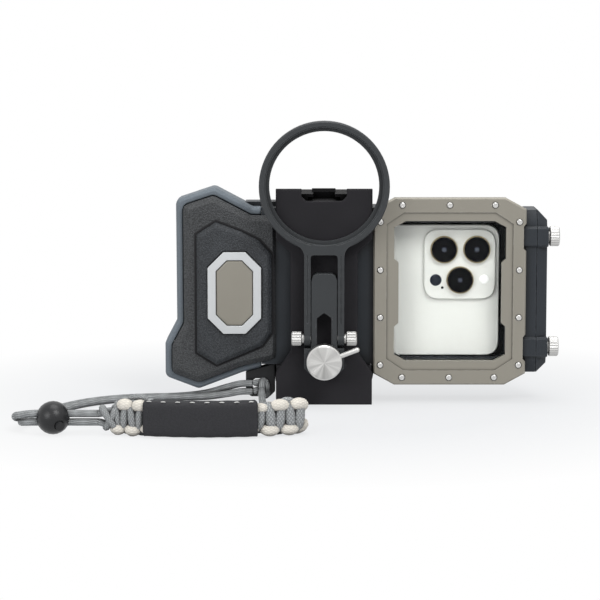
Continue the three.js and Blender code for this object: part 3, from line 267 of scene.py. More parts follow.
def webbing_effect(tree, given):
    """Dense flat webbing: fine upright ribs crossed by finer picks."""
    place = own_place(tree)
    axes = add(tree, "ShaderNodeSeparateXYZ", {"Vector": place}).outputs
    waves = []
    for axis, width in (("X", "Rib"), ("Z", "Pick")):
        phase = maths(tree, "DIVIDE", maths(tree, "MULTIPLY", axes[axis], FULL_TURN), given[width])
        waves.append(maths(tree, "SINE", phase))
    height = maths(tree, "MULTIPLY_ADD", maths(tree, "MULTIPLY", *waves), 0.5, noise(tree, place, 1400.0, 4.0))
    return height, spread(tree, height, -0.2, 1.2)


def rubbed_highlight_effect(tree, given):
    """Mask of rubbed edges, lightened partly as wear and partly as painted highlight along them: where the rounded
    normal leaves the true one, broken up by noise.
    """
    round_normal = add(tree, "ShaderNodeBevel", {"Radius": given["Radius"]}, samples=4).outputs["Normal"]
    true_normal = add(tree, "ShaderNodeNewGeometry").outputs["Normal"]
    turn = maths(tree, "SUBTRACT", 1.0, vectors(tree, "DOT_PRODUCT", round_normal, true_normal))
    patches = spread(tree, noise(tree, own_place(tree), 260.0, 4.0), 0.35, 0.7)
    broken = maths(tree, "MULTIPLY", spread(tree, turn, 0.01, 0.14), patches)
    return [maths(tree, "MULTIPLY", broken, given["Amount"])]


def crevice_shade_effect(tree, given):
    """Mask for painted shade: ambient occlusion that falls off in hollows, tight corners and between parts, where the
    colour is then darkened.
    """
    clear = add(tree, "ShaderNodeAmbientOcclusion", {"Distance": given["Distance"]}, samples=6).outputs["AO"]
    in_shade = spread(tree, clear, 0.42, 0.88, 1.0, 0.0)
    return [maths(tree, "SUBTRACT", 1.0, maths(tree, "MULTIPLY", in_shade, given["Amount"]))]


RELIEF = ("Height", "Tone")
# What fills each effect, its name in Blender, its number and vector inputs, and its outputs
EFFECTS = {
    "stipple": (stipple_effect, "Moulded stipple", {"Grain": 0.0007, "Drift": 0.02}, RELIEF),
    "grain": (grain_effect, "Blasted grain", {"Grain": 0.0003, "Drift": 0.03}, RELIEF),
    "turned": (turned_effect, "Turned rings",
               {"Centre": (0.0, 0.0, 0.0), "Axis": (0.0, 1.0, 0.0), "Pitch": 0.00012}, RELIEF),
    "braid": (braid_effect, "Braided sheath", {"Yarns": 7.0, "Lay": 0.0036}, RELIEF),
    "webbing": (webbing_effect, "Webbing", {"Rib": 0.0008, "Pick": 0.0005}, RELIEF),
    "wear": (rubbed_highlight_effect, "Edge wear", {"Radius": 0.0005, "Amount": 0.5}, ["Wear"]),
    "crevices": (crevice_shade_effect, "Crevices", {"Distance": 0.004, "Amount": 0.8}, ["Open"]),
}
MADE_EFFECTS, MADE_FINISHES = {}, {}


def make_effect(build, name, inputs, outputs):
    """Makes the shader node group of an effect, with its named inputs and outputs."""
    group = bpy.data.node_groups.new(name, "ShaderNodeTree")
    for label, value in inputs.items():
        kind = "NodeSocketFloat" if isinstance(value, float) else "NodeSocketVector"
        group.interface.new_socket(name=label, in_out="INPUT", socket_type=kind).default_value = value
    for label in outputs:
        group.interface.new_socket(name=label, in_out="OUTPUT", socket_type="NodeSocketFloat")
    results = build(group, group.nodes.new("NodeGroupInput").outputs)
    fill(group, group.nodes.new("NodeGroupOutput"), dict(enumerate(results)))
    return group


def effect_node(tree, name, sizes):
    """Places a shared effect in a material, with its own sizes in the order of the effect's inputs."""
    if name not in MADE_EFFECTS:
        MADE_EFFECTS[name] = make_effect(*EFFECTS[name])
    return add(tree, "ShaderNodeGroup", dict(enumerate(sizes)), node_tree=MADE_EFFECTS[name]).outputs


# Finishes

def shade(base, factor):
    return (*[min(1.0, channel * factor) for channel in base], 1.0)


def finish(name, base, roughness, relief, sizes, depth, metallic=0.0, tones=(0.8, 1.15), rough_by=0.06, wear=None,
           rubbed_highlight_colour=None, coat=0.0, sheen=0.0, turned=0.0, gloss=0.5, crevices=None, clear=False):
    """A Principled material whose colour, roughness and relief come from a shared effect."""
    made = bpy.data.materials.new(name)
    made.use_nodes = True
    tree = made.node_tree
    shader = tree.nodes["Principled BSDF"]
    texture = effect_node(tree, relief, sizes)
    mixed = blend(tree, texture["Tone"], shade(base, tones[0]), shade(base, tones[1]))
    # Lighter edges: partly wear, partly painted highlight where the edges would catch the light.
    if wear:
        mixed = blend(tree, effect_node(tree, "wear", wear)["Wear"], mixed, (*rubbed_highlight_colour, 1.0))
    if crevices:
        # Painted shade: where the occlusion mask falls off, the colour darkens towards a tenth of its base.
        mixed = blend(tree, effect_node(tree, "crevices", crevices)["Open"], shade(base, 0.1), mixed)
    bump = add(tree, "ShaderNodeBump", {"Height": texture["Height"], "Distance": depth, "Strength": 1.0})
    fill(tree, shader, {
        "Base Color": mixed, "Metallic": metallic, "Specular IOR Level": gloss, "Coat Weight": coat,
        "Coat Roughness": 0.25, "Sheen Weight": sheen, "Anisotropic": turned, "Normal": bump.outputs["Normal"],
        "Roughness": spread(tree, texture["Tone"], 0.0, 1.0, roughness + rough_by, roughness - rough_by),
    })
    if turned:
        tangent = add(tree, "ShaderNodeTangent", direction_type="RADIAL", axis="Y")
        fill(tree, shader, {"Tangent": tangent.outputs["Tangent"]})
    if clear:
        let_through(tree, shader)
    return made


def let_through(tree, shader):
    """Makes a finish clear, and lets the lamps shine through it."""
    fill(tree, shader, {"Transmission Weight": 1.0, "IOR": 1.12})
    film = add(tree, "ShaderNodeBsdfTransparent", {"Color": (0.94, 0.95, 0.95, 1.0)}).outputs[0]
    shadow = add(tree, "ShaderNodeLightPath").outputs["Is Shadow Ray"]
    fill(tree, tree.nodes["Material Output"], {"Surface": join(tree, shadow, shader.outputs[0], film)})


def own_colour(base):
    """A colour as it stands, or by its name in the settings, or a share of a named one."""
    named, share = base if len(base) == 2 else (base, 1.0)
    if not isinstance(named, str):
        return named
    scene = bpy.context.scene
    group = scene.housing_cords if named in CordSettings.__annotations__ else scene.housing_colours
    return shade(getattr(group, named), share)[:3]


def material(name):
    """Each finish is made once, from the settings."""
    if name not in MADE_FINISHES:
        base, *plain, more = FINISHES[name]
        MADE_FINISHES[name] = finish(name.capitalize(), own_colour(base), *plain, **more)
    return MADE_FINISHES[name]


# Colour, roughness, relief effect with its sizes, depth of the relief in metres, and what else differs
FINISHES = {
    "moulded shell": ("shell", 0.46, "stipple", (0.0004, 0.03), 0.00002, dict(
        tones=(0.85, 1.2), wear=(0.0006, 0.7), rubbed_highlight_colour=(0.15, 0.16, 0.175), gloss=0.28, crevices=(0.008, 0.9))),
    "grip face": ("grip", 0.55, "stipple", (0.0008, 0.03), 0.0003, dict(
        tones=(0.25, 1.85), rough_by=0.14, wear=(0.0008, 0.5), rubbed_highlight_colour=(0.16, 0.165, 0.165), gloss=0.4,
        crevices=(0.005, 0.9))),
    "grip plateau": ("plateau", 0.52, "stipple", (0.0008, 0.02), 0.00028, dict(
        tones=(0.3, 1.8), rough_by=0.14, wear=(0.001, 0.6), rubbed_highlight_colour=(0.13, 0.14, 0.155), gloss=0.4,
        crevices=(0.005, 0.9))),
    "grip rim": ("rim", 0.56, "stipple", (0.0005, 0.02), 0.00005, dict(
        tones=(0.8, 1.18), rough_by=0.05, wear=(0.001, 0.4), rubbed_highlight_colour=(0.24, 0.27, 0.31), gloss=0.3,
        crevices=(0.003, 0.35))),
    "taupe frame": ("taupe", 0.48, "grain", (0.00035, 0.035), 0.000015, dict(
        metallic=0.35, tones=(0.9, 1.1), wear=(0.0005, 0.7), rubbed_highlight_colour=(0.66, 0.64, 0.59), crevices=(0.002, 0.7))),
    "taupe inlay": ("taupe", 0.42, "grain", (0.00025, 0.02), 0.00001, dict(
        metallic=0.3, tones=(0.9, 1.1), wear=(0.0003, 0.3), rubbed_highlight_colour=(0.5, 0.47, 0.42))),
    "silver inlay": ("silver", 0.36, "grain", (0.00025, 0.02), 0.00001, dict(
        metallic=0.25, tones=(0.92, 1.06), wear=(0.0003, 0.3), rubbed_highlight_colour=(0.8, 0.8, 0.8))),
    "black anodising": ("clamp", 0.5, "grain", (0.0003, 0.04), 0.000012, dict(
        tones=(0.6, 1.4), wear=(0.0004, 0.6), rubbed_highlight_colour=(0.11, 0.11, 0.118), gloss=0.03)),
    # A darkened copy of the black anodising: painted shade on the upper jaw's top faces.
    "deep anodising": (("clamp", 0.22), 0.55, "grain", (0.0003, 0.04), 0.000012, dict(
        tones=(0.6, 1.4), wear=(0.0004, 0.5), rubbed_highlight_colour=(0.04, 0.04, 0.044), gloss=0.03, crevices=(0.006, 0.95))),
    "grey anodising": ("arm", 0.42, "grain", (0.0003, 0.03), 0.000014, dict(
        metallic=0.1, tones=(0.85, 1.2), wear=(0.0004, 0.6), rubbed_highlight_colour=(0.2, 0.205, 0.215), gloss=0.3)),
    "plain steel": ("steel", 0.3, "grain", (0.0002, 0.01), 0.000008, dict(
        metallic=1.0, tones=(0.8, 1.1), rough_by=0.08, wear=(0.0002, 0.4), rubbed_highlight_colour=(0.85, 0.85, 0.84))),
    "knurled steel": ("steel", 0.46, "grain", (0.00045, 0.006), 0.00005, dict(
        metallic=1.0, tones=(0.62, 1.1), rough_by=0.1, wear=(0.0003, 0.5), rubbed_highlight_colour=(0.85, 0.85, 0.84))),
    # The knob's face carries the painted highlight sectors of the turned effect.
    "knob face": ("steel", 0.32, "turned", ((0.0, -0.0462, 0.0275), (0.0, 1.0, 0.0)), 0.00003, dict(
        metallic=1.0, tones=(0.5, 1.3), rough_by=0.08, turned=0.8)),
    "seal rubber": ((0.016, 0.016, 0.0175), 0.6, "grain", (0.0005, 0.02), 0.00002, dict(
        gloss=0.2, crevices=(0.003, 0.9))),
    "window glass": ((0.97, 0.985, 0.985), 0.02, "grain", (0.002, 0.05), 0.000002, dict(
        tones=(0.97, 1.0), rough_by=0.01, gloss=0.03, clear=True)),
    "touch film": ((0.93, 0.94, 0.95), 0.12, "grain", (0.0009, 0.05), 0.000002, dict(
        tones=(0.97, 1.0), rough_by=0.06, gloss=0.03, clear=True)),
    "phone back": ("phone", 0.4, "grain", (0.0003, 0.06), 0.000003, dict(
        tones=(0.96, 1.04), rough_by=0.03, coat=0.2)),
    "phone island": ("phone", 0.2, "grain", (0.001, 0.05), 0.000001, dict(
        tones=(0.93, 0.98), rough_by=0.03, coat=0.3)),
    "phone band": ((0.78, 0.76, 0.72), 0.16, "grain", (0.0003, 0.02), 0.000002, dict(
        metallic=1.0, tones=(0.9, 1.05), rough_by=0.04)),
    "phone screen": ((0.006, 0.006, 0.007), 0.08, "grain", (0.002, 0.05), 0.000001, dict(rough_by=0.03, coat=0.8)),
    "lens trim": ((0.36, 0.29, 0.17), 0.25, "grain", (0.0003, 0.01), 0.000004, dict(metallic=1.0)),
    "lens glass": ((0.001, 0.0011, 0.0016), 0.1, "grain", (0.001, 0.004), 0.000001, dict(
        tones=(0.6, 2.2), rough_by=0.03, gloss=0.03)),
    "lens baffle": ((0.008, 0.008, 0.0085), 0.5, "grain", (0.0004, 0.004), 0.000004, dict(gloss=0.1)),
    # Painted reflection: the pale colour of the glint at each lens's middle.
    "lens glint": ((0.05, 0.056, 0.075), 0.3, "grain", (0.0006, 0.002), 0.000002, dict(tones=(0.6, 1.5), gloss=0.2)),
    "sensor glass": ((0.012, 0.015, 0.023), 0.15, "grain", (0.001, 0.004), 0.000001, dict(
        tones=(0.7, 1.4), rough_by=0.03, gloss=0.15)),
    "flash glass": ((0.93, 0.92, 0.89), 0.2, "stipple", (0.0007, 0.01), 0.00004, dict(tones=(0.8, 1.05), coat=0.8)),
    "toggle plastic": ((0.012, 0.0125, 0.014), 0.34, "stipple", (0.0005, 0.01), 0.00001, dict(
        tones=(0.8, 1.3), coat=0.1, gloss=0.35)),
    "grey cord": ("grey", 0.75, "braid", (5.0, 0.03), 0.00024, dict(
        tones=(0.38, 1.3), gloss=0.3, sheen=0.1, crevices=(0.004, 0.8))),
    "grey weave": ("grey", 0.78, "braid", (5.0, 0.0045), 0.0003, dict(
        tones=(0.3, 1.55), gloss=0.3, sheen=0.1, crevices=(0.0035, 0.95))),
    # A darkened copy of the grey cord: painted shade where the cores show between the bars.
    "core cord": (("grey", 0.3), 0.85, "braid", (5.0, 0.0045), 0.0002, dict(tones=(0.5, 1.3), gloss=0.1)),
    "cream cord": ("cream", 0.78, "braid", (6.0, 0.004), 0.0002, dict(
        tones=(0.78, 1.08), gloss=0.3, sheen=0.1, crevices=(0.003, 0.6))),
    "stitching": ("stitch", 0.7, "webbing", (0.0004, 0.0003), 0.00004, dict(tones=(0.8, 1.1))),
    "label webbing": ("label", 0.66, "webbing", (0.0007, 0.0005), 0.00006, dict(
        tones=(0.6, 1.7), rough_by=0.1, gloss=0.3)),
}


# Geometry helpers

def in_scene(name, data):
    """Makes an object of this data in the scene."""
    made = bpy.data.objects.new(name, data)
    bpy.context.scene.collection.objects.link(made)
    return made


def in_metres(points):
    return [Vector(point) * MM for point in points]


def smooth_route(points, spacing):
    """Points every spacing along a centripetal curve through the given ones."""
    given = [Vector(point) for point in points]
    ends = [given[0] * 2 - given[1], *given, given[-1] * 2 - given[-2]]
    steps = 24
    line = []
    for start in range(len(given) - 1):
        a, b, c, d = ends[start:start + 4]
        gaps = [max((q - p).length ** 0.5, 1e-6) for p, q in ((a, b), (b, c), (c, d))]
        out_slope = ((b - a) / gaps[0] - (c - a) / (gaps[0] + gaps[1]) + (c - b) / gaps[1]) * gaps[1]
        in_slope = ((c - b) / gaps[1] - (d - b) / (gaps[1] + gaps[2]) + (d - c) / gaps[2]) * gaps[1]
        for step in range(steps):
            t = step / steps
            line.append(
                b * (2 * t ** 3 - 3 * t ** 2 + 1) + out_slope * (t ** 3 - 2 * t ** 2 + t)
                + c * (3 * t ** 2 - 2 * t ** 3) + in_slope * (t ** 3 - t ** 2)
            )
    line.append(given[-1])
    lengths = [0.0]
    for p, q in zip(line, line[1:]):
        lengths.append(lengths[-1] + (q - p).length)
    count = max(3, round(lengths[-1] / spacing))
    even, at = [], 0
    for number in range(count + 1):
        wanted = lengths[-1] * number / count
        while at < len(line) - 2 and lengths[at + 1] < wanted:
            at += 1
        part = (wanted - lengths[at]) / max(lengths[at + 1] - lengths[at], 1e-9)
        even.append(line[at].lerp(line[at + 1], min(1.0, part)))
    return even


class Shape:
    """Collects the points and faces of one piece, with a finish number and flat coordinates."""

    def __init__(self):
        self.points, self.faces, self.finishes, self.flat = [], [], [], []

    def rings(self, rings, number=0, closed=False, along=None):
        """Skins rows of points of equal count, each one loop round the piece, with every face turned outwards."""
        base, count, rows = len(self.points), len(rings[0]), len(rings)
        for ring in rings:
            self.points.extend(tuple(point) for point in ring)
        along = along or [index * MM for index in range(rows + 1)]
        made = []
        for row in range(rows if closed else rows - 1):
            after = (row + 1) % rows
            for side in range(count):
                beside = (side + 1) % count
                corners = [base + row * count + side, base + row * count + beside,
                           base + after * count + beside, base + after * count + side]
                u, v, low, high = side / count, (side + 1) / count, along[row], along[row + 1]
                made.append((corners, [(u, low), (v, low), (v, high), (u, high)]))
        if not closed:
            last = base + (rows - 1) * count
            made.append(([base + index for index in reversed(range(count))], [(0, 0)] * count))
            made.append(([last + index for index in range(count)], [(0, 0)] * count))
        volume = 0.0
        for corners, _ in made:
            fan = [Vector(self.points[corner]) - Vector(self.points[base]) for corner in corners]
            volume += sum(fan[0].dot(p.cross(q)) for p, q in zip(fan[1:], fan[2:]))
        turn = -1 if volume < 0 else 1
        for corners, flat in made:
            self.faces.append(corners[::turn])
            self.flat.extend(flat[::turn])
            self.finishes.append(number)

    def tube(self, line, radius, sides=16, number=0, ribs=0, rib_depth=0.06, flatten=1.0, facing=(0, 0, 1), ends=0.0,
             swell=0.0):
        """Sweeps a round or flattened section along a line without twisting it; it may swell at its middle."""
        last = len(line) - 1
        heading = (line[1] - line[0]).normalized()
        across = Vector(facing)
        if abs(across.dot(heading)) > 0.95:
            across = Vector((0, 1, 0))
        rows, along = [], [0.0]
        for index, point in enumerate(line):
            heading = (line[min(index + 1, last)] - line[max(index - 1, 0)]).normalized()
            across = (across - heading * across.dot(heading)).normalized()
            third = heading.cross(across)
            taper = 1.0 + swell * math.sin(math.pi * index / last) ** 2
            if ends:
                taper *= math.sin(min(1.0, min(index, last - index) / ends + 0.12) * math.pi / 2)
            row = []
            for side in range(sides):
                angle = FULL_TURN * side / sides
                reach = radius * taper * (1 - rib_depth * (0.5 - 0.5 * math.cos(ribs * angle)))
                row.append(point + across * math.cos(angle) * reach * flatten + third * math.sin(angle) * reach)
            rows.append(row)
            if index < last:
                along.append(along[-1] + (line[index + 1] - point).length)
        self.rings(rows, number, along=[*along, along[-1] + MM])

    def braided(self, line, radius, **more):
        self.tube(line, radius, sides=24, ribs=12, rib_depth=0.1, **more)

    def turned(self, profile, centre, sides=64, number=0):
        """Spins (radius, depth) pairs round the Y axis through the centre; radius 0 closes an end."""
        x, z = centre
        rows = []
        for radius, depth in profile:
            reach = max(radius, POINT)
            angles = [FULL_TURN * side / sides for side in range(sides)]
            rows.append([Vector((x + reach * math.sin(turn), depth, z + reach * math.cos(turn))) for turn in angles])
        closed = profile[0] == profile[-1]
        self.rings(rows[:-1] if closed else rows, number, closed=closed)

    def piece(self, name, body, finishes, slot, replaces=(), crisp=0):
        """Makes the Blender object, smooth shaded but for edges sharper than crisp degrees, riding on its body."""
        mesh = bpy.data.meshes.new(name)
        mesh.from_pydata(self.points, [], self.faces)
        flat = mesh.uv_layers.new(name="Flat")
        for loop, (u, v) in zip(flat.data, self.flat):
            loop.uv = (u, v)
        for polygon, number in zip(mesh.polygons, self.finishes):
            polygon.material_index = number
            polygon.use_smooth = True
        for named in finishes:
            mesh.materials.append(material(named))
        mesh.update()
        made = in_scene(name, mesh)
        if crisp:
            mesh.set_sharp_from_angle(angle=math.radians(crisp))
        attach(made, body)
        if replaces:
            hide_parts(*replaces)
        return made


def change(solid, name, kind, **settings):
    made = solid.modifiers.new(name, kind)
    for key, value in settings.items():
        setattr(made, key, value)


def dress(names, finish_name, edge=0.0, angle=32.0):
    """Gives kept solids their finish and softly rounded edges."""
    for name in names:
        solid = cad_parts[name]
        solid.data.materials.clear()
        solid.data.materials.append(material(finish_name))
        solid.data.polygons.foreach_set("use_smooth", [True] * len(solid.data.polygons))
        change(solid, "Joined corners", "WELD", merge_threshold=0.000002)
        if edge:
            change(solid, "Whole faces", "DECIMATE", decimate_type="DISSOLVE", angle_limit=math.radians(0.4))
            change(solid, "Softened edges", "BEVEL", width=edge, segments=2, limit_method="ANGLE",
                   angle_limit=math.radians(angle), use_clamp_overlap=True)
            change(solid, "Even shading", "WEIGHTED_NORMAL", weight=60)
        else:
            change(solid, "Crisp edges", "EDGE_SPLIT", split_angle=math.radians(angle))


# Operators

class HOUSING_OT_camera(Operator):
    """Place the camera at the photograph's height and distance."""
    bl_idname = "housing.camera"
    bl_label = "Camera"

    def execute(self, context):
        lens = bpy.data.cameras.new("Camera")
        lens.lens = 146.6
        lens.sensor_width = 36.0
        made = in_scene("Camera", lens)
        made.location = (-0.01375, -1.4116, 0.2311)
        made.rotation_euler = (math.radians(83.0), 0.0, 0.0)
        context.scene.camera = made
        return {"FINISHED"}


class HOUSING_OT_strands(Operator):
    """Lay the lanyard's three braided strands along their routes."""
    bl_idname = "housing.strands"
    bl_label = "Lanyard strands"

    def execute(self, context):
        given = context.scene.housing_cords
        routes = {
            "strand_lower": (LOWER_ROUTE, ["toggle_ball", "toggle_button", "crossed_knot"]),
            "strand_upper": (UPPER_ROUTE, []),
            "strand_link": (LINK_ROUTE, ["lug_hitch"]),
        }
        for node, (route, carried) in routes.items():
            line = smooth_route(in_metres(route), given.diameter * 0.3)
            shape = Shape()
            shape.tube(line, given.diameter / 2, sides=given.ribs * 2, ribs=given.ribs, rib_depth=0.07)
            made = shape.piece(node.replace("strand", "braided"), "housing", ["grey cord"], "grey_cord", [node])
        return {"FINISHED"}


def on_band(s, up, out):
    """A point of the bracelet: distance along its curve, height, and distance out of its middle, in millimetres."""
    radius, middle, centre_y, height = 111.7, -64.0, -19.8, 10.2
    angle = s / radius
    reach = radius + out
    return Vector((middle + reach * math.sin(angle), centre_y - reach * math.cos(angle), height + up)) * MM


class HOUSING_OT_bracelet(Operator):
    """Knot the bracelet: grey bars across both faces between cream side loops."""
    bl_idname = "housing.bracelet"
    bl_label = "Bracelet weave"

    def execute(self, context):
        given = context.scene.housing_cords
        radius = given.diameter / 2
        pitch = given.pitch * 1000
        start, tight_start, label_start, label_end, end = -47.8, -34.0, -30.8, 29.0, 50.6
        bar_width, loop_width = 0.82, 1.16
        grey, cream, core = range(3)
        count = round((end - label_start) / pitch)
        knots = [start + (label_start - start) * number / 4 for number in range(4)]
        knots += [label_start + (end - label_start) * number / count for number in range(count + 1)]
        random = Random(7)
        shape = Shape()
        for number, s in enumerate(knots):
            side = 1 if number % 2 else -1
            room = (knots[1] - knots[0]) / pitch if s < label_start else 1.0
            tight = 0.84 if tight_start < s < label_end else 1.0
            ahead = (on_band(s + 1, 0, 0) - on_band(s, 0, 0)).normalized()
            for face in (1, -1):
                lean = (0.7 + random.uniform(-0.15, 0.25)) * side * face
                bulge = (2.35 + random.uniform(-0.1, 0.2)) * tight
                bar = self.bar(s, lean, bulge, face)
                line = smooth_route([on_band(at, up * tight, out) for at, up, out in bar], MM)
                shape.braided(line, radius * bar_width, number=grey if face > 0 else cream, flatten=1.5 * room,
                              facing=ahead, swell=0.3)
            for face in (1, -1):
                at = s if face > 0 else s + pitch * room
                if at > end + 1:
                    continue
                tip = 6.6 + random.uniform(-0.2, 0.2)
                half = (3.9 + random.uniform(-0.3, 0.2)) * room
                loop = self.loop(at, half, tip, side, face)
                line = smooth_route([on_band(across, up * tight, out * tight) for across, up, out in loop], MM)
                kind = cream if face > 0 or at > end - 1 else grey
                shape.braided(line, radius * loop_width * tight, number=kind, swell=0.42)
        # The two cores run in the darkened cord, painted shade between the bars.
        steps, core_start, core_end = 40, start - 2.4, end + 1.2
        for up in (-2.1, 2.1):
            run = [on_band(core_start + (core_end - core_start) * step / steps, up, 0.0) for step in range(steps + 1)]
            shape.tube(run, radius, sides=10, number=core)
        bight = [(-41.8, 5.2, -2.6), (-41.6, 8.8, -2.4), (-39.0, 10.2, -2.2), (-36.0, 10.2, -2.2),
                 (-33.6, 9.6, -2.2), (-32.4, 6.0, -2.4)]
        shape.braided(smooth_route([on_band(*point) for point in bight], MM), radius, ends=2.0)
        finishes = ["grey weave", "cream cord", "core cord"]
        shape.piece("woven_bracelet", "housing", finishes, "cream_weave", ["bracelet_band"])
        return {"FINISHED"}

    def bar(self, s, lean, bulge, face):
        """One bar across a face: it leans, and bulges at its middle."""
        half = [(lean * 1.4, 7.2, -0.2 * face), (lean, 6.0, 1.3 * face), (lean * 0.7, 4.2, bulge * 0.94 * face),
                (lean * 0.2, 1.6, bulge * face)]
        below = [(s - across, -up, out) for across, up, out in half]
        return below + [(s + across, up, out) for across, up, out in reversed(half)]

    def loop(self, at, half, tip, side, face):
        """One loop over the upper or lower edge, its foot hidden between the bars."""
        rise = [(half - 0.9, 3.4, -1.2), (half, tip - 1.9, -0.4), (half - 0.5, tip - 0.7, 0.9),
                (half * 0.43, tip, 1.7)]
        before = [(at - across, side * up, out * face) for across, up, out in rise]
        after = [(at + across, side * up, out * face) for across, up, out in reversed(rise)]
        return [*before, (at, side * (tip + 0.15), 1.9 * face), *after]


class HOUSING_OT_label(Operator):
    """Wrap the label sleeve round the bracelet, with turned hems."""
    bl_idname = "housing.label"
    bl_label = "Label sleeve"

    def execute(self, context):
        shape = Shape()
        left, right, steps = -32.1, 26.9, 60
        outside, inside = [], []
        for step in range(steps + 1):
            s = left + (right - left) * step / steps
            hem = 0.35 * math.exp(-(min(step, steps - step) / 1.6) ** 2)
            swell = 0.12 * math.sin(s * FULL_TURN / 9.3)
            outside.append(self.section(s, 9.55 + swell * 0.5 + hem * 0.2, 5.35 + swell + hem * 0.6))
            inside.append(self.section(s, 9.0, 4.85))
        shape.rings([*outside, *reversed(inside)], closed=True)
        stitches, pitch, reach = 8, 7.55, 2.8
        for number in range(stitches):
            at = left + 1.6 + number * pitch
            shares = (0.0, 0.25, 0.5, 0.75, 1.0)
            dash = [on_band(at + share * reach, 9.5 + 0.15 * math.sin(share * math.pi), 4.3) for share in shares]
            shape.tube(dash, 0.0003, sides=8, number=1, ends=1.0)
        shape.piece("label_wrap", "housing", ["label webbing", "stitching"], "dark_label", ["label_sleeve"])
        return {"FINISHED"}

    def section(self, s, half_height, half_depth):
        ring, sides = [], 48
        for index in range(sides):
            angle = FULL_TURN * (index + 0.5) / sides
            c, t = math.cos(angle), math.sin(angle)
            up = math.copysign(abs(t) ** 0.28, t) * half_height
            ring.append(on_band(s, up, math.copysign(abs(c) ** 0.5, c) * half_depth))
        return ring


class HOUSING_OT_knots(Operator):
    """Tie the knot at the bracelet's end and the hitch at the strap lug."""
    bl_idname = "housing.knots"
    bl_label = "Knots"

    def execute(self, context):
        radius = context.scene.housing_cords.diameter / 2
        knot, hitch = Shape(), Shape()
        for points in CROSSINGS:
            knot.braided(smooth_route(in_metres(points), 0.0009), radius, ends=2.0)
        knot.piece("crossed_knot", "housing", ["grey weave"], "grey_cord", ["strand_knot"])
        for points in TURNS:
            hitch.tube(smooth_route(in_metres(points), 0.0009), radius, sides=20, ribs=10, ends=2.0)
        hitch.piece("lug_hitch", "housing", ["grey cord"], "grey_cord", ["hitch_knot"])
        return {"FINISHED"}


class HOUSING_OT_toggle(Operator):
    """Give the spring toggle its moulded plastic."""
    bl_idname = "housing.toggle"
    bl_label = "Toggle"

    def execute(self, context):
        dress(["toggle_ball", "toggle_button"], "toggle plastic", angle=50.0)
        return {"FINISHED"}


class HOUSING_OT_shell(Operator):
    """Finish the moulded shell, its end cap and its rear bezel."""
    bl_idname = "housing.shell"
    bl_label = "Shell"

    def execute(self, context):
        dress(["main_body", "end_cap", "rear_bezel"], "moulded shell", context.scene.housing_colours.edge * 1.4)
        return {"FINISHED"}


class HOUSING_OT_grip(Operator):
    """Finish the stippled grip, its soft rim and its inlay."""
    bl_idname = "housing.grip"
    bl_label = "Grip"

    def execute(self, context):
        edge = context.scene.housing_colours.edge
        for name, wide in (("grip_face", 1.8), ("grip_plateau", 2.2), ("grip_rim", 2.2)):
            dress([name], name.replace("_", " "), edge * wide, angle=20.0)
        dress(["inlay_rim"], "silver inlay", edge)
        dress(["inlay_panel"], "taupe inlay", edge)
        self.painted_foot_shadow()
        return {"FINISHED"}

    def painted_foot_shadow(self):
        """A dark band round the foot of the raised middle, laid there as painted shadow where the middle shades the
        face; its outline is in millimetres.
        """
        foot = [Vector(point) for point in (
            (-61.6, 22.5), (-35.6, 33.5), (-29.9, 41.2), (-29.9, 86.5), (-37.4, 94.6), (-47.4, 99.6), (-62.0, 105.1),
            (-73.1, 97.9), (-73.1, 29.7),
        )]
        shape = Shape()
        rows = []
        for out, y in ((-0.2, -18.1), (1.15, -18.1), (1.25, -18.25), (1.05, -18.34), (-0.2, -18.34)):
            row = []
            for index, point in enumerate(foot):
                before = (point - foot[index - 1]).normalized()
                after = (foot[(index + 1) % len(foot)] - point).normalized()
                mitre = (before + after) / (1 + before.dot(after))
                row.append((point.x + mitre.y * out, y, point.y - mitre.x * out))
            rows.append(in_metres(row))
        shape.rings(rows, closed=True)
        shape.piece("plateau_seam", "housing", ["seal rubber"], "grip_plastic", crisp=30)


class HOUSING_OT_window(Operator):
    """Finish the window frame, its glass, the rear film and the seals."""
    bl_idname = "housing.window"
    bl_label = "Window"

    def execute(self, context):
        dress(["window_frame"], "taupe frame", context.scene.housing_colours.edge)
        dress(["window_glass"], "window glass")
        dress(["touch_membrane"], "touch film")
        dress(["window_gasket", "membrane_gasket", "cap_seal"], "seal rubber")
        return {"FINISHED"}


class HOUSING_OT_screws(Operator):
    """Fit the frame's screws, with domed heads and hex sockets, and finish the other fasteners."""
    bl_idname = "housing.screws"
    bl_label = "Screws"

    def execute(self, context):
        for name in FRAME_SCREWS:
            low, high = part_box(name)
            centre = Vector(((low.x + high.x) / 2, low.y, (low.z + high.z) / 2))
            shape = Shape()
            self.head(shape, centre, (high.x - low.x) / 2, high.y - low.y)
            made = name.replace("frame_screw", "socket_screw")
            shape.piece(made, "housing", ["plain steel"], "bright_steel", [name], crisp=40)
        dress(BOLTS, "plain steel", 0.0002)
        return {"FINISHED"}

    def head(self, shape, centre, radius, depth):
        """A domed head with a hex socket, and its shank; the head faces -Y."""
        sides = 24
        profile = [
            (POINT, 0.00085, 0.0), (radius * 0.46, 0.00085, 1.0), (radius * 0.5, 0.0001, 1.0),
            (radius * 0.6, 0.00002, 0.3), (radius * 0.8, 0.0001, 0.0), (radius * 0.95, 0.0004, 0.0),
            (radius, 0.0007, 0.0), (radius, 0.0015, 0.0), (radius * 0.62, 0.0015, 0.0), (radius * 0.62, depth, 0.0),
            (POINT, depth, 0.0),
        ]
        rows = []
        for reach, back, hexed in profile:
            row = []
            for side in range(sides):
                angle = FULL_TURN * side / sides
                flat = math.cos(math.pi / 6) / math.cos((angle % (math.pi / 3)) - math.pi / 6)
                wide = reach * (1 + hexed * (flat - 1))
                row.append(centre + Vector((wide * math.cos(angle), back, wide * math.sin(angle))))
            rows.append(row)
        shape.rings(rows)


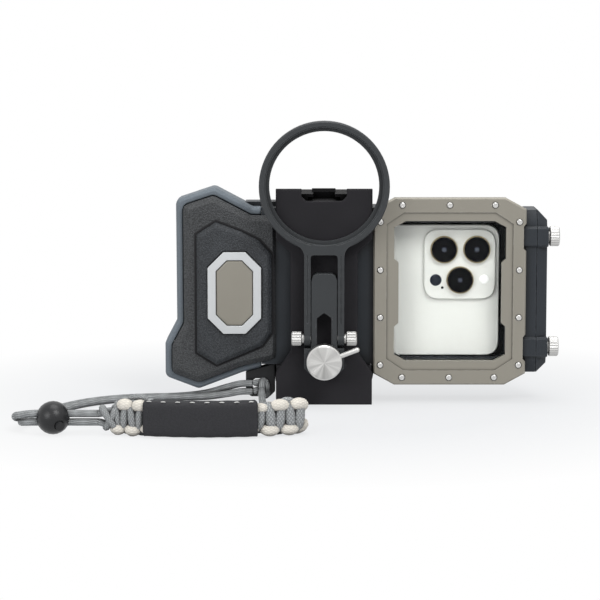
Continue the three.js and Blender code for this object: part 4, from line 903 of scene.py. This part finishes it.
class HOUSING_OT_phone(Operator):
    """Finish the phone and add its camera lenses, flash, sensor and screen."""
    bl_idname = "housing.phone"
    bl_label = "Phone"

    def execute(self, context):
        dress(["phone_body"], "phone back", 0.0003, angle=40.0)
        dress(["phone_camera_island"], "phone island", 0.0005, angle=40.0)
        low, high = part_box("phone_camera_island")
        width, height, front = high.x - low.x, high.z - low.z, low.y
        plate = front + 0.0016
        for number, (across, up) in enumerate([(0.281, 0.711), (0.734, 0.714), (0.504, 0.279)], 1):
            self.lens(number, (low.x + width * across, low.z + height * up), front, plate)
        details = [
            ("flash_lens", 0.839, 0.283, 0.0028, "flash glass"),
            ("depth_sensor", 0.168, 0.276, 0.0034, "sensor glass"),
            ("microphone", 0.26, 0.168, 0.0008, "lens glass"),
        ]
        for name, across, up, radius, glass in details:
            shape = Shape()
            shape.turned([
                (0.0, plate), (radius, plate), (radius, plate - 0.00015), (radius * 0.94, plate - 0.00025),
                (radius * 0.5, plate - 0.00034), (0.0, plate - 0.00038),
            ], (low.x + width * across, low.z + height * up), sides=48)
            shape.piece(name, "phone", [glass], "phone_island", crisp=40)
        low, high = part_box("phone_body")
        screen = Shape()
        screen.rings([
            self.outline(inset, high.y + back) for inset, back in ((0.0012, 0.0), (0.0012, 0.0002), (0.0016, 0.00025))
        ])
        screen.piece("display_glass", "phone", ["phone screen"], "phone_island")
        band = Shape()
        half = [(0.0011, 0.0004), (0.0009, 0.0002), (0.0003, 0.0007), (-0.0001, 0.0013)]
        profile = [(inset, low.y + back) for inset, back in half]
        profile += [(inset, high.y - back) for inset, back in reversed(half)]
        band.rings([self.outline(inset, y) for inset, y in profile], closed=True)
        band.piece("phone_band", "phone", ["phone band"], "bright_steel", crisp=50)
        return {"FINISHED"}

    def lens(self, number, centre, front, plate):
        """One camera lens: its metal trim, its glass, the rings that show in it, and a small pale dome at its middle
        that is a painted glint.
        """
        trim, glass, eye = Shape(), Shape(), Shape()
        trim.turned([
            (0.0072, plate), (0.0079, plate), (0.0079, front - 0.0001), (0.00775, front - 0.0004),
            (0.0074, front - 0.00045), (0.0072, front - 0.0002), (0.0072, plate),
        ], centre)
        trim.piece(f"lens_trim_{number}", "phone", ["lens trim"], "bright_steel", crisp=50)
        glass.turned([
            (0.0, plate), (0.00715, plate), (0.00715, front - 0.0001), (0.0068, front - 0.0002),
            (0.0056, front - 0.00026), (0.004, front - 0.00032), (0.002, front - 0.00036), (0.0, front - 0.00038),
        ], centre)
        glass.piece(f"lens_glass_{number}", "phone", ["lens glass"], "phone_island", crisp=20)
        for reach, wide, lift in ((0.0045, 0.00022, 0.0), (0.0031, 0.00016, 0.00008)):
            face = front - 0.0003 - lift
            ring = [(reach - wide, face + 0.0001), (reach + wide, face + 0.0001),
                    (reach + wide * 0.6, face - 0.00002), (reach - wide * 0.6, face - 0.00002)]
            eye.turned([*ring, ring[0]], centre, sides=48)
        # Painted glint: a pale dome at the lens's middle stands in for a reflection in the glass.
        face = front - 0.00038
        glint = [(0.0, face + 0.0001), (0.0016, face + 0.0001), (0.00128, face - 0.00002), (0.0, face - 0.00004)]
        eye.turned(glint, centre, sides=48, number=1)
        eye.piece(f"lens_eye_{number}", "phone", ["lens baffle", "lens glint"], "phone_island", crisp=30)

    def outline(self, inset, y):
        """The phone's rounded outline, drawn in by inset, at the depth y."""
        low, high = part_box("phone_body")
        radius, steps = 0.009, 8
        ring = []
        for x, z, turn in ((high.x, high.z, 0), (low.x, high.z, 1), (low.x, low.z, 2), (high.x, low.z, 3)):
            cx = x - math.copysign(radius, x - (low.x + high.x) / 2)
            cz = z - math.copysign(radius, z - (low.z + high.z) / 2)
            for step in range(steps + 1):
                angle = (turn + step / steps) * math.pi / 2
                reach = radius - inset
                ring.append(Vector((cx + reach * math.cos(angle), y, cz + reach * math.sin(angle))))
        return ring


class HOUSING_OT_clamp(Operator):
    """Finish the clamp, its pads and the strap lug."""
    bl_idname = "housing.clamp"
    bl_label = "Clamp"

    def execute(self, context):
        edge = context.scene.housing_colours.edge
        dress(["clamp_plate", "clamp_lower_jaw"], "black anodising", edge)
        # The upper jaw takes the darkened anodising, painted shade on its top faces.
        dress(["clamp_upper_jaw"], "deep anodising", edge)
        dress(["strap_lug"], "toggle plastic", edge * 2)
        dress(["clamp_pad_upper", "clamp_pad_lower"], "seal rubber")
        # Points along each sealing bead, and its radius, in millimetres
        beads = {
            "edge_bead_left": ([(-27.85, -6, up) for up in (11, 16, 21, 26)], 0.55),
            "lug_bead": ([(-44.5, -6, 17.5), (-39, -6, 19), (-34, -6, 20.4), (-28.4, -6, 21.95)], 0.55),
            "edge_bead_right": ([(28, -13, up) for up in (13.5, 17, 21, 25)], 0.75),
        }
        for name, (points, radius) in beads.items():
            bead = Shape()
            bead.tube(in_metres(points), radius * MM, sides=12, facing=(0, 1, 0), ends=1.0)
            bead.piece(name, "housing", ["seal rubber"], "seal_rubber")
        return {"FINISHED"}


class HOUSING_OT_arm(Operator):
    """Finish the slotted link and the lens ring, and cut its thread."""
    bl_idname = "housing.arm"
    bl_label = "Swing arm"

    def execute(self, context):
        dress(["arm_tongue", "lens_ring"], "grey anodising", context.scene.housing_colours.edge)
        dress(["slot_guide", "pivot_stud", "pivot_washer"], "plain steel", 0.0002)
        _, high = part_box("lens_ring")
        outer_radius, crests, pitch, first = 0.0371, 5, 0.00075, -0.0336
        root, middle, crest = 0.0337, 0.0334, 0.0331
        thread = Shape()
        profile = [(root, first)]
        for turn in range(crests):
            at = first + turn * pitch
            profile += [(middle, at + 0.0002), (crest, at + 0.00038), (middle, at + 0.00056)]
        profile += [(root, first + crests * pitch), (root, first)]
        thread.turned(profile, (0.0, high.z - outer_radius), sides=120)
        thread.piece("ring_thread", "ring", ["grey anodising"], "grey_anodised")
        return {"FINISHED"}


class HOUSING_OT_knob(Operator):
    """Finish the lock knob and every knurled screw."""
    bl_idname = "housing.knob"
    bl_label = "Knob and thumb screws"

    def execute(self, context):
        dress(["lock_knob"], "plain steel", 0.0002)
        low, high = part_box("lock_knob")
        radius, steps, front = 0.0092, 12, low.y
        dial = Shape()
        rings = [(radius * step / steps, front - 0.00012 + 0.00003 * (step / steps) ** 4) for step in range(steps)]
        dial.turned([*rings, (radius, front - 0.00004), (radius, front + 0.0003), (0.0, front + 0.0003)],
                    ((low.x + high.x) / 2, (low.z + high.z) / 2), sides=96)
        dial.piece("knob_dial", "knob", ["knob face"], "bright_steel", crisp=40)
        dress(["knob_lever"], "plain steel", angle=40.0)
        dress(THUMB_SCREWS, "knurled steel")
        return {"FINISHED"}


class HOUSING_OT_stage(Operator):
    """Lay the pale floor and set the soft studio light."""
    bl_idname = "housing.stage"
    bl_label = "Stage"

    def execute(self, context):
        given = context.scene.housing_stage
        half = 6
        mesh = bpy.data.meshes.new("Floor")
        corners = [(-half, -half, 0), (half, -half, 0), (half, half, 0), (-half, half, 0)]
        mesh.from_pydata(corners, [], [[0, 1, 2, 3]])
        mesh.materials.append(self.paper(given))
        made = in_scene("Floor", mesh)
        self.lamp("Key lamp", (0.65, -1.2, 1.35), 0.8, given.key)
        self.lamp("Fill lamp", (-1.0, -1.2, 0.6), 0.9, given.fill)
        self.lamp("Top lamp", (0.0, -0.05, 1.35), 0.9, given.top)
        self.sky(context, given)
        context.scene.view_settings.view_transform = "Standard"
        return {"FINISHED"}

    def seen(self, tree):
        """1 for what the camera sees, by itself, in a reflection or through glass."""
        highlight_rays = add(tree, "ShaderNodeLightPath").outputs
        seen = maths(tree, "MAXIMUM", highlight_rays["Is Camera Ray"], highlight_rays["Is Glossy Ray"])
        return maths(tree, "MAXIMUM", seen, highlight_rays["Is Transmission Ray"])

    def paper(self, given):
        """White paper: it keeps shadows near the object and fades to plain white further out."""
        made = bpy.data.materials.new("Studio paper")
        made.use_nodes = True
        tree = made.node_tree
        shader = tree.nodes["Principled BSDF"]
        fill(tree, shader, {"Base Color": (*given.floor, 1.0), "Roughness": 0.7, "Specular IOR Level": 0.0})
        seen = self.seen(tree)
        pale, white = [
            add(tree, "ShaderNodeEmission", {"Color": (*tint, 1.0), "Strength": 1.0}).outputs[0]
            for tint in ((0.98, 0.99, 1.0), (1.0, 1.0, 1.0))
        ]
        near = join(tree, maths(tree, "MULTIPLY", seen, given.glow), shader.outputs[0], pale)
        away = vectors(tree, "LENGTH", own_place(tree))
        fade = maths(tree, "MULTIPLY", spread(tree, away, 0.12, 0.27), seen)
        fill(tree, tree.nodes["Material Output"], {"Surface": join(tree, fade, near, white)})
        return made

    def lamp(self, name, place, size, watts):
        light = bpy.data.lights.new(name, "AREA")
        light.shape = "DISK"
        light.size = size
        light.energy = watts
        made = in_scene(name, light)
        made.location = place
        made.rotation_mode = "QUATERNION"
        aim = Vector((0.0, 0.0, 0.07)) - Vector(place)
        made.rotation_quaternion = aim.to_track_quat("-Z", "Y")

    def sky(self, context, given):
        world = bpy.data.worlds.new("Studio")
        world.use_nodes = True
        tree = world.node_tree
        strength = spread(tree, self.seen(tree), 0.0, 1.0, given.sky, 1.0)
        fill(tree, tree.nodes["Background"], {"Color": (1.0, 1.0, 1.0, 1.0), "Strength": strength})
        context.scene.world = world


OPERATORS = [
    HOUSING_OT_camera, HOUSING_OT_bracelet, HOUSING_OT_label, HOUSING_OT_knots, HOUSING_OT_toggle, HOUSING_OT_strands,
    HOUSING_OT_shell, HOUSING_OT_grip, HOUSING_OT_window, HOUSING_OT_screws, HOUSING_OT_phone, HOUSING_OT_clamp,
    HOUSING_OT_arm, HOUSING_OT_knob, HOUSING_OT_stage,
]


class HOUSING_PT_panel(Panel):
    """Lists the housing's pieces and settings in the sidebar."""
    bl_idname = "HOUSING_PT_panel"
    bl_label = "Underwater Housing"
    bl_space_type = "VIEW_3D"
    bl_region_type = "UI"
    bl_category = "Housing"

    def draw(self, context):
        for made in OPERATORS:
            self.layout.operator(made.bl_idname)
        for group in SETTINGS:
            box = self.layout.box()
            for name in SETTINGS[group].__annotations__:
                box.prop(getattr(context.scene, group), name)


SETTINGS = {"housing_cords": CordSettings, "housing_colours": HousingSettings, "housing_stage": StageSettings}
CLASSES = [*SETTINGS.values(), *OPERATORS, HOUSING_PT_panel]


def register():
    for made in CLASSES:
        bpy.utils.register_class(made)
    for name, kind in SETTINGS.items():
        setattr(bpy.types.Scene, name, PointerProperty(type=kind))


def unregister():
    for name in SETTINGS:
        delattr(bpy.types.Scene, name)
    for made in reversed(CLASSES):
        bpy.utils.unregister_class(made)


def main():
    register()
    for made in OPERATORS:
        group, name = made.bl_idname.split(".")
        getattr(getattr(bpy.ops, group), name)()
    bpy.context.view_layer.update()


if __name__ == "__main__":
    main()
